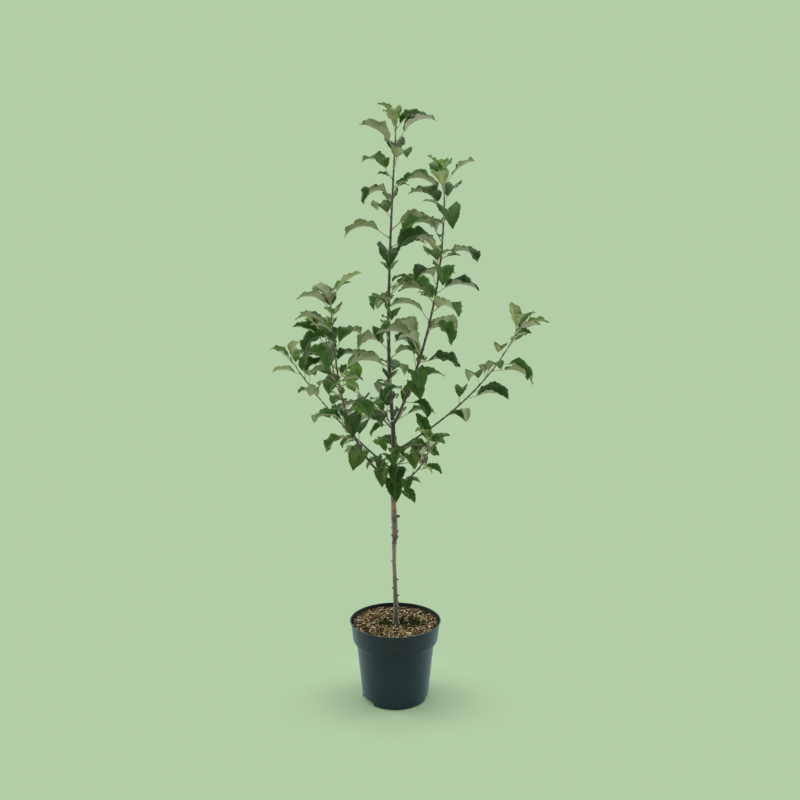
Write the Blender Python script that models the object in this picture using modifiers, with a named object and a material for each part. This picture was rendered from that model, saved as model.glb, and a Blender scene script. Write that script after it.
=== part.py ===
"""A young grafted apple tree with one leader and six boughs, in its nursery pot, 1.10 m tall over all.

Metres, +Z up. The origin is the centre of the pot's flat underside. Someone who looks at the tree
from its front looks along +Y, with +X to the right.

The plant is worked out from named sizes. The trunk follows a short line of points, each bough is one
smooth bend, and each shoot carries leaves on a seeded spiral. A shoot begins as a bare bough and goes
on, after a hair's gap, as the stem of one mass of leaves.
"""

import math
import random

import bmesh
import bpy
from mathutils import Quaternion, Vector
from mathutils.bvhtree import BVHTree

OBJECT = "potted_gravenstein_apple_tree"
GAP = 0.0003  # clear space between pieces that meet
UP = Vector((0, 0, 1))
STEADY = Vector((0, 1, 0))  # angles round a shoot are counted from across this axis

# Pot: a turned shell with an out-turned lip and a stepped band
POT_HEIGHT = 0.1505
RIM_RADIUS = 0.0862
LIP_HEIGHT = 0.0018
LIP_WIDTH = 0.0028
BAND_TOP_RADIUS = 0.0842
BAND_TOP_HEIGHT = 0.1480
BAND_FOOT_RADIUS = 0.0804
BAND_FOOT_HEIGHT = 0.1145
WALL_TOP_RADIUS = 0.0729
WALL_TOP_HEIGHT = 0.1025
WALL_FOOT_RADIUS = 0.0629
WALL_FOOT_HEIGHT = 0.0050
FOOT_RADIUS = 0.0617
POT_WALL = 0.0016
POT_FLOOR = 0.0100  # the inside's bottom, clear above the drain notches
TURNED_STEPS = 48

# Drain notches in the foot: bearing from the front of the pot, towards +X
NOTCH_BEARINGS = (-61, 83, 191)
NOTCH_WIDTH = 0.044
NOTCH_HEIGHT = 0.0080
NOTCH_INNER_RADIUS = 0.0525

# Soil: it fills the pot up to a little below the rim
SOIL_HEIGHT = 0.1405
SOIL_CLEARANCE = 0.0005

# Trunk: (sideways place, height, radius) from the flat cut on the soil, over the graft, past the fork
TRUNK_LINE = (
    (0.0012, SOIL_HEIGHT + GAP, 0.0071),
    (0.0012, 0.1460, 0.0061),
    (0.0010, 0.1750, 0.0047),
    (-0.0006, 0.2200, 0.0041),
    (-0.0024, 0.2650, 0.0038),
    (-0.0022, 0.2950, 0.0041),
    (-0.0010, 0.3140, 0.0053),
    (-0.0012, 0.3300, 0.0056),
    (-0.0024, 0.3560, 0.0055),
    (-0.0030, 0.3700, 0.0050),
    (-0.0040, 0.4020, 0.0050),
    (-0.0026, 0.4400, 0.0046),
    (-0.0032, 0.5000, 0.0043),
    (-0.0044, 0.5300, 0.0038),
)
TRUNK_STEPS = 2  # curve points from each trunk point to the next

# Buds and pruned stubs on the trunk: (height, bearing, length, radius)
TRUNK_BUDS = (
    (0.1790, 20, 0.0085, 0.0016),
    (0.2140, 190, 0.0070, 0.0012),
    (0.2260, -10, 0.0075, 0.0014),
    (0.2620, 185, 0.0070, 0.0012),
    (0.3290, 200, 0.0095, 0.0016),
    (0.3520, -25, 0.0120, 0.0022),
    (0.3080, 80, 0.0090, 0.0016),
)

# Boughs. height is where one leaves the trunk's line, bearing its direction in plan (degrees from +X
# towards +Y), swing how far that turns on the way, rise its angle above level at the foot and at the
# tip, and easing how soon it takes the tip's rise. bare is the length with no leaves, which is the
# bough. The rest is the stem of its mass of leaves: internode is the way from leaf to leaf, leaf the
# length of a full blade, and each seed settles the next few leaves.
BOUGHS = {
    "leader": dict(
        height=0.530, bearing=2, swing=1, rise=(95.5, 86.9), easing=2.6, length=0.5405, bare=0.040,
        radii=(0.0037, 0.0011), hand=1, internode=0.0174, leaf=0.069, first=0.050,
        seeds=(6703, 6614, 6291, 3556, 7762, 3552, 1070, 9660), tip_seed=1320,
    ),
    "right_centre": dict(
        height=0.522, bearing=-63, swing=26, rise=(45.5, 92.5), easing=1.2, length=0.476, bare=0.055,
        radii=(0.0027, 0.0010), hand=-1, internode=0.0155, leaf=0.069, first=0.064,
        seeds=(5319, 7686, 816, 2014, 5576, 9330, 3317, 1116), tip_seed=534,
    ),
    "left_inner": dict(
        height=0.416, bearing=-139, swing=28, rise=(29.2, 83.3), easing=1.9, length=0.398, bare=0.060,
        radii=(0.0022, 0.0010), hand=1, internode=0.0161, leaf=0.064, first=0.069,
        seeds=(1137, 3760, 7198, 6870, 6351, 3520), tip_seed=2018,
    ),
    "left_outer": dict(
        height=0.437, bearing=158, swing=1, rise=(32.9, 52.9), easing=1.1, length=0.295, bare=0.080,
        radii=(0.0020, 0.0009), hand=-1, internode=0.0198, leaf=0.053, first=0.088,
        seeds=(2805, 7864, 8069, 4345), tip_seed=746,
    ),
    "left_back": dict(
        height=0.513, bearing=111, swing=25, rise=(15.2, 45.5), easing=0.5, length=0.174, bare=0.035,
        radii=(0.0018, 0.0009), hand=-1, internode=0.0170, leaf=0.062, first=0.044,
        seeds=(9349, 2986, 4911), tip_seed=1887,
    ),
    "right": dict(
        height=0.473, bearing=23, swing=-9, rise=(24.7, 70.5), easing=0.6, length=0.343, bare=0.105,
        radii=(0.0021, 0.0009), hand=1, internode=0.0180, leaf=0.063, first=0.115,
        seeds=(5484, 819, 5319, 1720), tip_seed=1424,
    ),
    "right_low": dict(
        height=0.410, bearing=-52, swing=28, rise=(18.1, 105.4), easing=0.5, length=0.134, bare=0.035,
        radii=(0.0018, 0.0009), hand=-1, internode=0.0151, leaf=0.060, first=0.043,
        seeds=(1739, 4865, 8481), tip_seed=369,
    ),
}
# A side shoot belongs to the mass of the bough that it stands on. place is how far along that bough
# it starts, and it grows as a bough does.
SIDE_SHOOTS = {
    "left_side": dict(
        on="left_inner", place=0.205, bearing=145, swing=0, rise=(66, 75), easing=1.4, length=0.127,
        radii=(0.0012, 0.0008), hand=1, internode=0.0148, leaf=0.064, first=0.027,
        seeds=(8975, 8412, 4564), tip_seed=701,
    ),
}
BOUGH_POINTS = 80  # short straight steps that a bend is summed from
LEAVES_A_SEED = 4

# Leaves
SPIRAL = 144.0  # degrees round the shoot from one leaf to the next
TIP_ZONE = 0.075  # length of shoot below the tip where leaves are young
LEAN_FROM = 0.43  # above this height leaves turn their upper side to the light in front
LEAN_A_METRE = 0.50  # and lean that way by this much more for each metre of height, in radians
BLADE_HALF_WIDTH = 0.28  # share of the blade's length
BLADE_THICKNESS = 0.011  # half the midrib's thickness, as a share of the blade's length
PETIOLE_RADIUS = 0.0008
BLADE_STATIONS = ((0.0, 0.06), (0.20, 0.70), (0.48, 1.00), (0.78, 0.68), (1.0, 0.0))
SHORT_BLADE = 0.040  # a blade below this length is built from fewer stations
SHORT_BLADE_STATIONS = ((0.0, 0.08), (0.45, 1.00), (1.0, 0.0))
LEAF_SPARE = 0.0008  # room that a leaf is tested with
TURNS = (0, 22, -22, 44, -44)  # degrees that a leaf may be turned to clear its neighbours

# Spurs on the trunk: short stems with a rosette of leaves
SPURS = {
    "spur_left": dict(
        height=0.454, bearing=217, rise=22, length=0.019, phase=28, leaves=6, seed=437, leaf=0.060,
    ),
    "spur_right": dict(
        height=0.446, bearing=-30, rise=28, length=0.035, phase=204, leaves=6, seed=402, leaf=0.059,
    ),
    "spur_front": dict(
        height=0.437, bearing=-105, rise=10, length=0.036, phase=11, leaves=6, seed=520, leaf=0.059,
    ),
    "spur_back": dict(
        height=0.444, bearing=54, rise=43, length=0.031, phase=105, leaves=5, seed=231, leaf=0.057,
    ),
    "spur_low": dict(
        height=0.391, bearing=-31, rise=46, length=0.024, phase=358, leaves=6, seed=384, leaf=0.054,
    ),
    "spur_high": dict(
        height=0.516, bearing=-153, rise=55, length=0.034, phase=23, leaves=6, seed=185, leaf=0.056,
    ),
    "spur_top": dict(
        height=0.524, bearing=53, rise=24, length=0.035, phase=326, leaves=4, seed=221, leaf=0.056,
    ),
}
SPUR_RADII = (0.0016, 0.0010)
SPUR_ROOT = 0.0090  # from the trunk's line to the first leaf

COLOURS = {
    "pot": ((0.020, 0.038, 0.034), 0.42),
    "soil": ((0.120, 0.088, 0.050), 0.95),
    "bark": ((0.150, 0.135, 0.105), 0.80),
    "shoot_bark": ((0.060, 0.050, 0.038), 0.65),
    "leaves": ((0.050, 0.095, 0.030), 0.55),
}


def point_on_trunk(height):
    for (x0, z0, r0), (x1, z1, r1) in zip(TRUNK_LINE, TRUNK_LINE[1:]):
        if height <= z1:
            share = (height - z0) / (z1 - z0)
            return Vector((x0 + (x1 - x0) * share, 0, height))
    return Vector((TRUNK_LINE[-1][0], 0, TRUNK_LINE[-1][1]))


def direction(bearing, rise):
    """Unit vector at a bearing in plan and an angle above level, both in radians."""
    return Vector((math.cos(rise) * math.cos(bearing), math.cos(rise) * math.sin(bearing), math.sin(rise)))


def bend_points(bough, foot):
    """The line of a bough, summed from short steps whose rise and bearing change smoothly."""
    line = [foot]
    foot_rise, tip_rise = bough["rise"]
    step = bough["length"] / BOUGH_POINTS
    for i in range(BOUGH_POINTS):
        share = (i + 0.5) / BOUGH_POINTS
        rise = tip_rise + (foot_rise - tip_rise) * (1 - share) ** bough["easing"]
        bearing = bough["bearing"] + bough["swing"] * share
        line.append(line[-1] + direction(math.radians(bearing), math.radians(rise)) * step)
    return line


def along(line, share):
    """Point and direction at this share of a line of even steps."""
    place = min(max(share, 0), 0.9999) * (len(line) - 1)
    i = int(place)
    way = line[i + 1] - line[i]
    return line[i] + way * (place - i), way.normalized()


def shoot_lines():
    """The lines of all boughs and of the side shoots that stand on them."""
    lines = {name: bend_points(bough, point_on_trunk(bough["height"])) for name, bough in BOUGHS.items()}
    for name, side in SIDE_SHOOTS.items():
        share = side["place"] / BOUGHS[side["on"]]["length"]
        lines[name] = bend_points(side, along(lines[side["on"]], share)[0])
    return lines


def sides_of(name):
    """The names of the side shoots on a bough."""
    return [side for side, shoot in SIDE_SHOOTS.items() if shoot["on"] == name]


def stretch(bough, line, start, end, pieces):
    """Points and radii of one stretch of a bough, given in metres from its foot."""
    points = []
    radii = []
    thick, thin = bough["radii"]
    for i in range(pieces + 1):
        share = (start + (end - start) * i / pieces) / bough["length"]
        points.append(along(line, share)[0])
        radii.append(thick + (thin - thick) * share)
    return points, radii


def sideways(way, angle):
    """Unit vector square to the way, turned by an angle in radians from the steady direction."""
    side = way.cross(STEADY).normalized()
    return side * math.cos(angle) + way.cross(side) * math.sin(angle)


def leaf_spec(root, way, petiole, length, rise, bend, fold, roll, yaw):
    """What sets one leaf. Angles are in degrees. The blade leaves its stalk at rise and droops by bend."""
    lean = max(0, LEAN_A_METRE * (root.z - LEAN_FROM))
    heading = math.atan2(way.y, way.x)
    return dict(
        root=root, way=way, petiole=petiole, length=length,
        rise=math.radians(rise) + 0.5 * lean * math.sin(heading), bend=math.radians(bend),
        fold=math.radians(fold), roll=math.radians(roll) + lean * math.cos(heading), yaw=math.radians(yaw),
    )


def shoot_leaves(bough, line):
    """The leaves of one shoot: a spiral whose phase and small differences come from its seeds."""
    length = bough["length"]
    place = bough["first"]
    leaves = []
    count = 0
    while place < length - 0.004 and count < LEAVES_A_SEED * len(bough["seeds"]):
        if count % LEAVES_A_SEED == 0:
            rng = random.Random(bough["seeds"][count // LEAVES_A_SEED])
            phase = rng.uniform(0, 360)
        left = length - place
        root, way = along(line, place / length)
        angle = phase + bough["hand"] * SPIRAL * (count % LEAVES_A_SEED) + rng.uniform(-24, 24)
        young = max(0, 1 - left / TIP_ZONE)
        spread = math.radians(50 - 22 * young + rng.uniform(-9, 9))
        stalk = way * math.cos(spread) + sideways(way, math.radians(angle)) * math.sin(spread)
        size = bough["leaf"] * (0.70 + 0.30 * min(1, left / 0.09))
        size *= 0.72 + 0.28 * min(1, (place - bough["first"]) / 0.06)
        size *= 1 + rng.uniform(-0.16, 0.16)
        petiole = size * rng.uniform(0.28, 0.42)
        rise = 0.55 * math.degrees(math.asin(stalk.z)) + 14 + 26 * young + rng.uniform(-12, 12)
        bend = 88 - 45 * young + rng.uniform(-20, 20)
        fold = 40 + rng.uniform(-10, 12)
        roll = rng.uniform(-20, 20)
        yaw = rng.uniform(-25, 25)
        leaves.append(leaf_spec(root, stalk, petiole, size, rise, bend, fold, roll, yaw))
        if rng.random() < 0.45 and left > 0.05:
            leaves += bud_leaves(rng, root, way, angle)
        place += bough["internode"] * (0.34 + 0.66 * min(1, left / 0.085)) * (1 + rng.uniform(-0.2, 0.2))
        count += 1
    return leaves + tip_leaves(bough, line)


def bud_leaves(rng, root, way, angle):
    """One or two small leaves beside a full one, from the bud in its axil."""
    leaves = []
    for _ in range(rng.choice((1, 2))):
        turned = math.radians(angle + rng.uniform(-60, 60))
        spread = math.radians(rng.uniform(30, 60))
        stalk = way * math.cos(spread) + sideways(way, turned) * math.sin(spread)
        size = rng.uniform(0.020, 0.036)
        rise = 0.7 * math.degrees(math.asin(stalk.z)) + 10
        bend = rng.uniform(40, 80)
        roll = rng.uniform(-25, 25)
        yaw = rng.uniform(-30, 30)
        leaves.append(leaf_spec(root, stalk, size * 0.4, size, rise, bend, 30, roll, yaw))
    return leaves


def tip_leaves(bough, line):
    """The youngest leaves, upright round the shoot's tip."""
    rng = random.Random(bough["tip_seed"])
    root, way = along(line, 1 - 0.003 / bough["length"])
    angle = rng.uniform(0, 2 * math.pi)
    leaves = []
    for _ in range(3):
        angle += math.radians(140 + rng.uniform(-30, 30))
        stalk = Vector([0.9 * a + rng.uniform(0.2, 0.9) * b for a, b in zip(way, sideways(way, angle))])
        stalk.normalize()
        size = rng.uniform(0.030, 0.052)
        petiole = rng.uniform(0.004, 0.018)
        rise = rng.uniform(25, 78)
        bend = rng.uniform(15, 80)
        leaves.append(leaf_spec(root, stalk, petiole, size, rise, bend, 42, 0, rng.uniform(-20, 20)))
    return leaves


def rosette_leaves(spur, line):
    """The leaves of a short spur, close together round its stem."""
    rng = random.Random(spur["seed"])
    leaves = []
    for i in range(spur["leaves"]):
        place = SPUR_ROOT + (spur["length"] - 0.002 - SPUR_ROOT) * i / (spur["leaves"] - 1)
        root, way = along(line, place / spur["length"])
        angle = math.radians(spur["phase"] + SPIRAL * i + rng.uniform(-25, 25))
        spread = math.radians(50 + rng.uniform(-12, 12))
        stalk = way * math.cos(spread) + sideways(way, angle) * math.sin(spread)
        size = spur["leaf"] * rng.uniform(0.62, 1.1)
        rise = 0.6 * math.degrees(math.asin(stalk.z)) + 12 + rng.uniform(-10, 10)
        bend = 82 + rng.uniform(-22, 18)
        fold = 37 + rng.uniform(-10, 10)
        roll = rng.uniform(-22, 22)
        yaw = rng.uniform(-25, 25)
        leaves.append(leaf_spec(root, stalk, size * 0.36, size, rise, bend, fold, roll, yaw))
    return leaves


def cross_section(centre, bearing, rise, roll, half_width, fold, half_thick):
    """Four corners round a leaf's midrib: left edge, top, right edge, underside."""
    way = direction(bearing, rise)
    side = Quaternion(way, roll) @ Vector((-math.sin(bearing), math.cos(bearing), 0))
    top = way.cross(side)
    middle = centre + top * math.sin(fold) * half_width
    reach = side * math.cos(fold) * half_width
    return [middle + reach, centre + top * half_thick, middle - reach, centre - top * half_thick]


def leaf_rings(leaf, spare=0.0):
    """Cross sections of a leaf from the root of its stalk to the blade's last station, and its point."""
    heading = math.atan2(leaf["way"].y, leaf["way"].x)
    length = leaf["length"]
    stalk = PETIOLE_RADIUS + spare
    centre = leaf["root"] + leaf["way"] * leaf["petiole"]
    rings = [cross_section(leaf["root"], heading, math.asin(leaf["way"].z), leaf["roll"], stalk, 0, stalk)]
    last = 0
    for station, width in SHORT_BLADE_STATIONS if length < SHORT_BLADE else BLADE_STATIONS:
        for quarter in range(4):
            share = last + (station - last) * (quarter + 0.5) / 4
            way = direction(heading + leaf["yaw"] * share, leaf["rise"] - leaf["bend"] * share)
            centre = centre + way * (length * (station - last) / 4)
        last = station
        half_width = width * BLADE_HALF_WIDTH * length + spare
        half_thick = BLADE_THICKNESS * length * (1 - 0.5 * station) + spare
        bearing = heading + leaf["yaw"] * station
        rise = leaf["rise"] - leaf["bend"] * station
        rings.append(cross_section(centre, bearing, rise, leaf["roll"], half_width, leaf["fold"], half_thick))
    return rings[:-1], centre


def leaf_faces(leaf, spare=0.0, blade_only=False):
    """Points and faces of the closed loft through a leaf's cross sections."""
    rings, point = leaf_rings(leaf, spare)
    if blade_only:
        rings = rings[1:]
    points = [corner for ring in rings for corner in ring] + [point]
    faces = [(0, 1, 2, 3)]
    for i in range(0, 4 * (len(rings) - 1), 4):
        for edge in (i, i + 2):
            for middle in (i + 1, i + 3):
                faces.append((edge, edge + 4, middle + 4))
                faces.append((edge, middle + 4, middle))
    last = 4 * (len(rings) - 1)
    for j in range(4):
        faces.append((last + j, len(points) - 1, last + (j + 1) % 4))
    return points, faces


def clear_scene():
    for obj in list(bpy.data.objects):
        bpy.data.objects.remove(obj, do_unlink=True)
    for mesh in list(bpy.data.meshes):
        bpy.data.meshes.remove(mesh)


def new_collection(name):
    made = bpy.data.collections.new(name)
    bpy.context.scene.collection.children.link(made)
    return made


def new_material(name):
    colour, roughness = COLOURS[name]
    made = bpy.data.materials.new(name)
    made.use_nodes = True
    shader = made.node_tree.nodes["Principled BSDF"]
    shader.inputs["Base Color"].default_value = (*colour, 1)
    shader.inputs["Roughness"].default_value = roughness
    shader.inputs["Metallic"].default_value = 0
    return made


def place_mesh(name, mesh, collection, material=None):
    obj = bpy.data.objects.new(name, mesh)
    collection.objects.link(obj)
    if material is not None:
        mesh.materials.clear()
        mesh.materials.append(material)
    return obj


def evaluated_mesh(obj):
    bpy.context.view_layer.update()
    graph = bpy.context.evaluated_depsgraph_get()
    return bpy.data.meshes.new_from_object(obj.evaluated_get(graph))


def take_mesh(obj, mesh):
    """Gives the object a mesh with its modifiers already worked in."""
    old = obj.data
    obj.modifiers.clear()
    obj.data = mesh
    bpy.data.meshes.remove(old)


def make_helper(obj):
    obj.hide_render = True
    obj.display_type = "WIRE"
    return obj


def smooth(obj):
    obj.data.shade_smooth()
    obj.data.set_sharp_from_angle(angle=math.radians(40))


def tapered_tube(name, points, radii, sides, collection, material=None):
    """A closed tube through the points: a bevelled curve with filled caps, made a mesh."""
    curve = bpy.data.curves.new(name + "_line", "CURVE")
    curve.dimensions = "3D"
    curve.bevel_depth = 1
    curve.bevel_resolution = (sides - 4) // 2
    curve.use_fill_caps = True
    spline = curve.splines.new("POLY")
    spline.points.add(len(points) - 1)
    for knot, point, radius in zip(spline.points, points, radii):
        knot.co = (*point, 1)
        knot.radius = radius
    guide = bpy.data.objects.new(name + "_line", curve)
    collection.objects.link(guide)
    mesh = evaluated_mesh(guide)
    work = bmesh.new()
    work.from_mesh(mesh)
    bmesh.ops.remove_doubles(work, verts=work.verts, dist=1e-6)
    bmesh.ops.recalc_face_normals(work, faces=work.faces)
    work.to_mesh(mesh)
    work.free()
    obj = place_mesh(name, mesh, collection, material)
    obj.matrix_world = guide.matrix_world.copy()
    bpy.data.objects.remove(guide, do_unlink=True)
    return obj


def turned(name, profile, collection, material):
    """A solid of revolution: a profile in the XZ plane with a Screw modifier round Z."""
    mesh = bpy.data.meshes.new(name)
    edges = [(i, i + 1) for i in range(len(profile) - 1)]
    mesh.from_pydata([(radius, 0, height) for radius, height in profile], edges, [])
    obj = place_mesh(name, mesh, collection, material)
    screw = obj.modifiers.new("turn", "SCREW")
    screw.steps = TURNED_STEPS
    screw.render_steps = TURNED_STEPS
    screw.use_merge_vertices = True
    screw.merge_threshold = 0.0001
    take_mesh(obj, evaluated_mesh(obj))
    obj.data.materials.clear()
    obj.data.materials.append(material)
    return obj


def boolean(obj, operation, target):
    """Joins or cuts with an object, or with all the objects of a collection, and works it in."""
    modifier = obj.modifiers.new(operation.lower(), "BOOLEAN")
    modifier.operation = operation
    modifier.solver = "EXACT"
    if isinstance(target, bpy.types.Collection):
        modifier.operand_type = "COLLECTION"
        modifier.collection = target
    else:
        modifier.object = target
    take_mesh(obj, evaluated_mesh(obj))


def drop_scraps(obj):
    """Keeps the largest body of a mesh, where joining left a loose crumb beside it."""
    work = bmesh.new()
    work.from_mesh(obj.data)
    waiting = set(work.verts)
    bodies = []
    while waiting:
        body = {waiting.pop()}
        edge = list(body)
        while edge:
            vert = edge.pop()
            for link in vert.link_edges:
                other = link.other_vert(vert)
                if other in waiting:
                    waiting.discard(other)
                    body.add(other)
                    edge.append(other)
        bodies.append(body)
    bodies.sort(key=len, reverse=True)
    loose = [vert for body in bodies[1:] for vert in body]
    bmesh.ops.delete(work, geom=loose, context="VERTS")
    work.to_mesh(obj.data)
    work.free()


def pot_outer():
    """The pot's outside, rim to foot, as radius and height."""
    return [
        (RIM_RADIUS, POT_HEIGHT),
        (RIM_RADIUS, POT_HEIGHT - LIP_HEIGHT),
        (BAND_TOP_RADIUS, BAND_TOP_HEIGHT),
        (BAND_FOOT_RADIUS, BAND_FOOT_HEIGHT),
        (WALL_TOP_RADIUS, WALL_TOP_HEIGHT),
        (WALL_FOOT_RADIUS, WALL_FOOT_HEIGHT),
        (FOOT_RADIUS, 0),
    ]


def pot_inner(height_from, height_to, inset):
    """The inside of the pot's wall between two heights, top to bottom, drawn in by inset."""
    inside = [(radius - POT_WALL - inset, height) for radius, height in pot_outer()[2:6]]
    (r1, z1), (r0, z0) = inside[0], inside[-1]
    band_slope = (inside[0][0] - inside[1][0]) / (inside[0][1] - inside[1][1])
    wall_slope = (inside[2][0] - inside[3][0]) / (inside[2][1] - inside[3][1])
    top = (r1 + band_slope * (height_to - z1), height_to)
    foot = (r0 - wall_slope * (z0 - height_from), height_from)
    return [top] + inside[1:3] + [foot]


def make_pot(collection, helpers, material):
    inner = pot_inner(POT_FLOOR, BAND_TOP_HEIGHT, 0)
    lip = (RIM_RADIUS - LIP_WIDTH, POT_HEIGHT)
    profile = [(0, POT_FLOOR)] + inner[::-1] + [lip] + pot_outer() + [(0, 0)]
    pot = turned("pot", profile, collection, material)
    for i, bearing in enumerate(NOTCH_BEARINGS):
        depth = FOOT_RADIUS - NOTCH_INNER_RADIUS + 0.010
        bpy.ops.mesh.primitive_cube_add(size=1)
        cutter = make_helper(bpy.context.object)
        cutter.name = f"notch_cutter_{i + 1}"
        turn = math.radians(bearing)
        middle = NOTCH_INNER_RADIUS + depth / 2
        cutter.location = (middle * math.sin(turn), -middle * math.cos(turn), 0)
        cutter.rotation_euler = (0, 0, turn)
        cutter.scale = (NOTCH_WIDTH, depth, 2 * NOTCH_HEIGHT)
        for home in list(cutter.users_collection):
            home.objects.unlink(cutter)
        helpers.objects.link(cutter)
        boolean(pot, "DIFFERENCE", cutter)
    smooth(pot)
    return pot


def make_soil(collection, material):
    side = pot_inner(POT_FLOOR + GAP, SOIL_HEIGHT, SOIL_CLEARANCE)
    profile = [(0, SOIL_HEIGHT)] + side + [(0, POT_FLOOR + GAP)]
    soil = turned("soil", profile, collection, material)
    smooth(soil)
    return soil


def trunk_points():
    """The trunk's line, rounded between its points, with its radius at each."""
    knots = [Vector(knot) for knot in TRUNK_LINE]
    knots = [knots[0] * 2 - knots[1]] + knots + [knots[-1] * 2 - knots[-2]]
    knots[0].x = TRUNK_LINE[0][0]
    line = []
    for a, b, c, d in zip(knots, knots[1:], knots[2:], knots[3:]):
        for i in range(TRUNK_STEPS):
            t = i / TRUNK_STEPS
            square = 2 * a - 5 * b + 4 * c - d
            cube = 3 * b - a - 3 * c + d
            line.append(0.5 * (2 * b + (c - a) * t + square * t**2 + cube * t**3))
    line.append(knots[-2])
    return [Vector((knot.x, 0, knot.y)) for knot in line], [knot.z for knot in line]


def make_trunk(collection, material):
    points, radii = trunk_points()
    trunk = tapered_tube("trunk", points, radii, 12, collection, material)
    buds = new_collection("trunk_buds")
    for i, (height, bearing, length, radius) in enumerate(TRUNK_BUDS):
        root = point_on_trunk(height)
        way = direction(math.radians(bearing), math.radians(35))
        line = [root, root + way * length * 0.7, root + way * length]
        tapered_tube(f"bud_{i + 1}", line, [radius * 1.2, radius, radius * 0.5], 6, buds)
    boolean(trunk, "UNION", buds)
    for bud in list(buds.objects):
        bpy.data.objects.remove(bud, do_unlink=True)
    bpy.data.collections.remove(buds)
    smooth(trunk)
    return trunk


def make_trunk_cutter(helpers):
    """The trunk with a hair's room round it, which boughs and spurs are cut by."""
    points, radii = trunk_points()
    points[0] = points[0] - UP * GAP
    points[-1] = points[-1] + UP * GAP
    return make_helper(tapered_tube("trunk_cutter", points, [r + GAP * 1.2 for r in radii], 12, helpers))


def tree_of(points, faces):
    return BVHTree.FromPolygons([tuple(point) for point in points], faces)


class Neighbours:
    """What stands so far, to keep each new leaf clear of it."""

    def __init__(self):
        self.pieces = []

    def add(self, owner, points, faces):
        centre = sum(points, Vector()) / len(points)
        reach = max((point - centre).length for point in points)
        self.pieces.append((owner, centre, reach, tree_of(points, faces)))

    def add_object(self, owner, obj):
        points = [vert.co.copy() for vert in obj.data.vertices]
        self.add(owner, points, [tuple(face.vertices) for face in obj.data.polygons])

    def touched_by(self, leaf, owner):
        points, faces = leaf_faces(leaf, LEAF_SPARE)
        whole = tree_of(points, faces)
        blade = tree_of(*leaf_faces(leaf, LEAF_SPARE, blade_only=True))
        centre = sum(points, Vector()) / len(points)
        reach = max((point - centre).length for point in points)
        for other, place, size, tree in self.pieces:
            if (place - centre).length > reach + size:
                continue
            if (blade if other == owner else whole).overlap(tree):
                return True
        return False


def turned_leaf(leaf, degrees):
    made = dict(leaf)
    made["way"] = Quaternion(UP, math.radians(degrees)) @ leaf["way"]
    return made


def settle(leaves, owner, neighbours):
    """Keeps the leaves that clear everything, turned a little where that helps."""
    kept = []
    for leaf in leaves:
        for degrees in TURNS:
            made = turned_leaf(leaf, degrees)
            if not neighbours.touched_by(made, owner):
                kept.append(made)
                neighbours.add(owner, *leaf_faces(made))
                break
    return kept


def fuse(stem, leaves, side_stems=()):
    """Joins the leaves and side stems of one mass to its stem by a single union."""
    loose = new_collection(stem.name + "_leaves")
    for side in side_stems:
        loose.objects.link(side)
    for i, leaf in enumerate(leaves):
        mesh = bpy.data.meshes.new("leaf")
        points, faces = leaf_faces(leaf)
        mesh.from_pydata(points, [], faces)
        work = bmesh.new()
        work.from_mesh(mesh)
        bmesh.ops.recalc_face_normals(work, faces=work.faces)
        work.to_mesh(mesh)
        work.free()
        place_mesh(f"{stem.name}_leaf_{i + 1}", mesh, loose)
    boolean(stem, "UNION", loose)
    for leaf in list(loose.objects):
        bpy.data.objects.remove(leaf, do_unlink=True)
    bpy.data.collections.remove(loose)
    drop_scraps(stem)


def make_bough(name, bough, line, cutter, collection, material):
    points, radii = stretch(bough, line, 0, bough["bare"], 5)
    if name == "leader":
        points[0] = points[0] + UP * GAP
    limb = tapered_tube(name, points, radii, 8, collection, material)
    if name != "leader":
        boolean(limb, "DIFFERENCE", cutter)
        drop_scraps(limb)
    smooth(limb)
    return limb


def main():
    clear_scene()
    home = new_collection(OBJECT)
    helpers = new_collection("cutters")
    materials = {name: new_material(name) for name in COLOURS}
    make_pot(home, helpers, materials["pot"])
    make_soil(home, materials["soil"])
    neighbours = Neighbours()
    neighbours.add_object("trunk", make_trunk(home, materials["bark"]))
    cutter = make_trunk_cutter(helpers)

    lines = shoot_lines()
    stems = {}
    for name, bough in BOUGHS.items():
        limb = make_bough(name, bough, lines[name], cutter, home, materials["shoot_bark"])
        neighbours.add_object(name, limb)
        long_stem = bough["length"] - bough["bare"]
        pieces = max(4, round(long_stem / 0.030))
        points, radii = stretch(bough, lines[name], bough["bare"] + GAP, bough["length"], pieces)
        stems[name] = tapered_tube("leaves_" + name, points, radii, 6, home, materials["leaves"])
        neighbours.add_object("leaves_" + name, stems[name])
    for name, side in SIDE_SHOOTS.items():
        points, radii = stretch(side, lines[name], 0, side["length"], 5)
        stems[name] = tapered_tube(name + "_stem", points, radii, 6, helpers, materials["leaves"])
        neighbours.add_object("leaves_" + side["on"], stems[name])
    spur_lines = {}
    for name, spur in SPURS.items():
        spur = dict(spur, swing=0, rise=(spur["rise"], spur["rise"] + 20), easing=1, radii=SPUR_RADII)
        spur_lines[name] = bend_points(spur, point_on_trunk(spur["height"]))
        points, radii = stretch(spur, spur_lines[name], 0, spur["length"], 3)
        stem = tapered_tube("leaves_" + name, points, radii, 6, home, materials["leaves"])
        boolean(stem, "DIFFERENCE", cutter)
        drop_scraps(stem)
        stems[name] = stem
        neighbours.add_object(stem.name, stem)

    for name, bough in BOUGHS.items():
        wanted = shoot_leaves(bough, lines[name])
        for side in sides_of(name):
            wanted += shoot_leaves(SIDE_SHOOTS[side], lines[side])
        leaves = settle(wanted, stems[name].name, neighbours)
        fuse(stems[name], leaves, [stems[side] for side in sides_of(name)])
    for name, spur in SPURS.items():
        leaves = settle(rosette_leaves(spur, spur_lines[name]), stems[name].name, neighbours)
        fuse(stems[name], leaves)


main()
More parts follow.
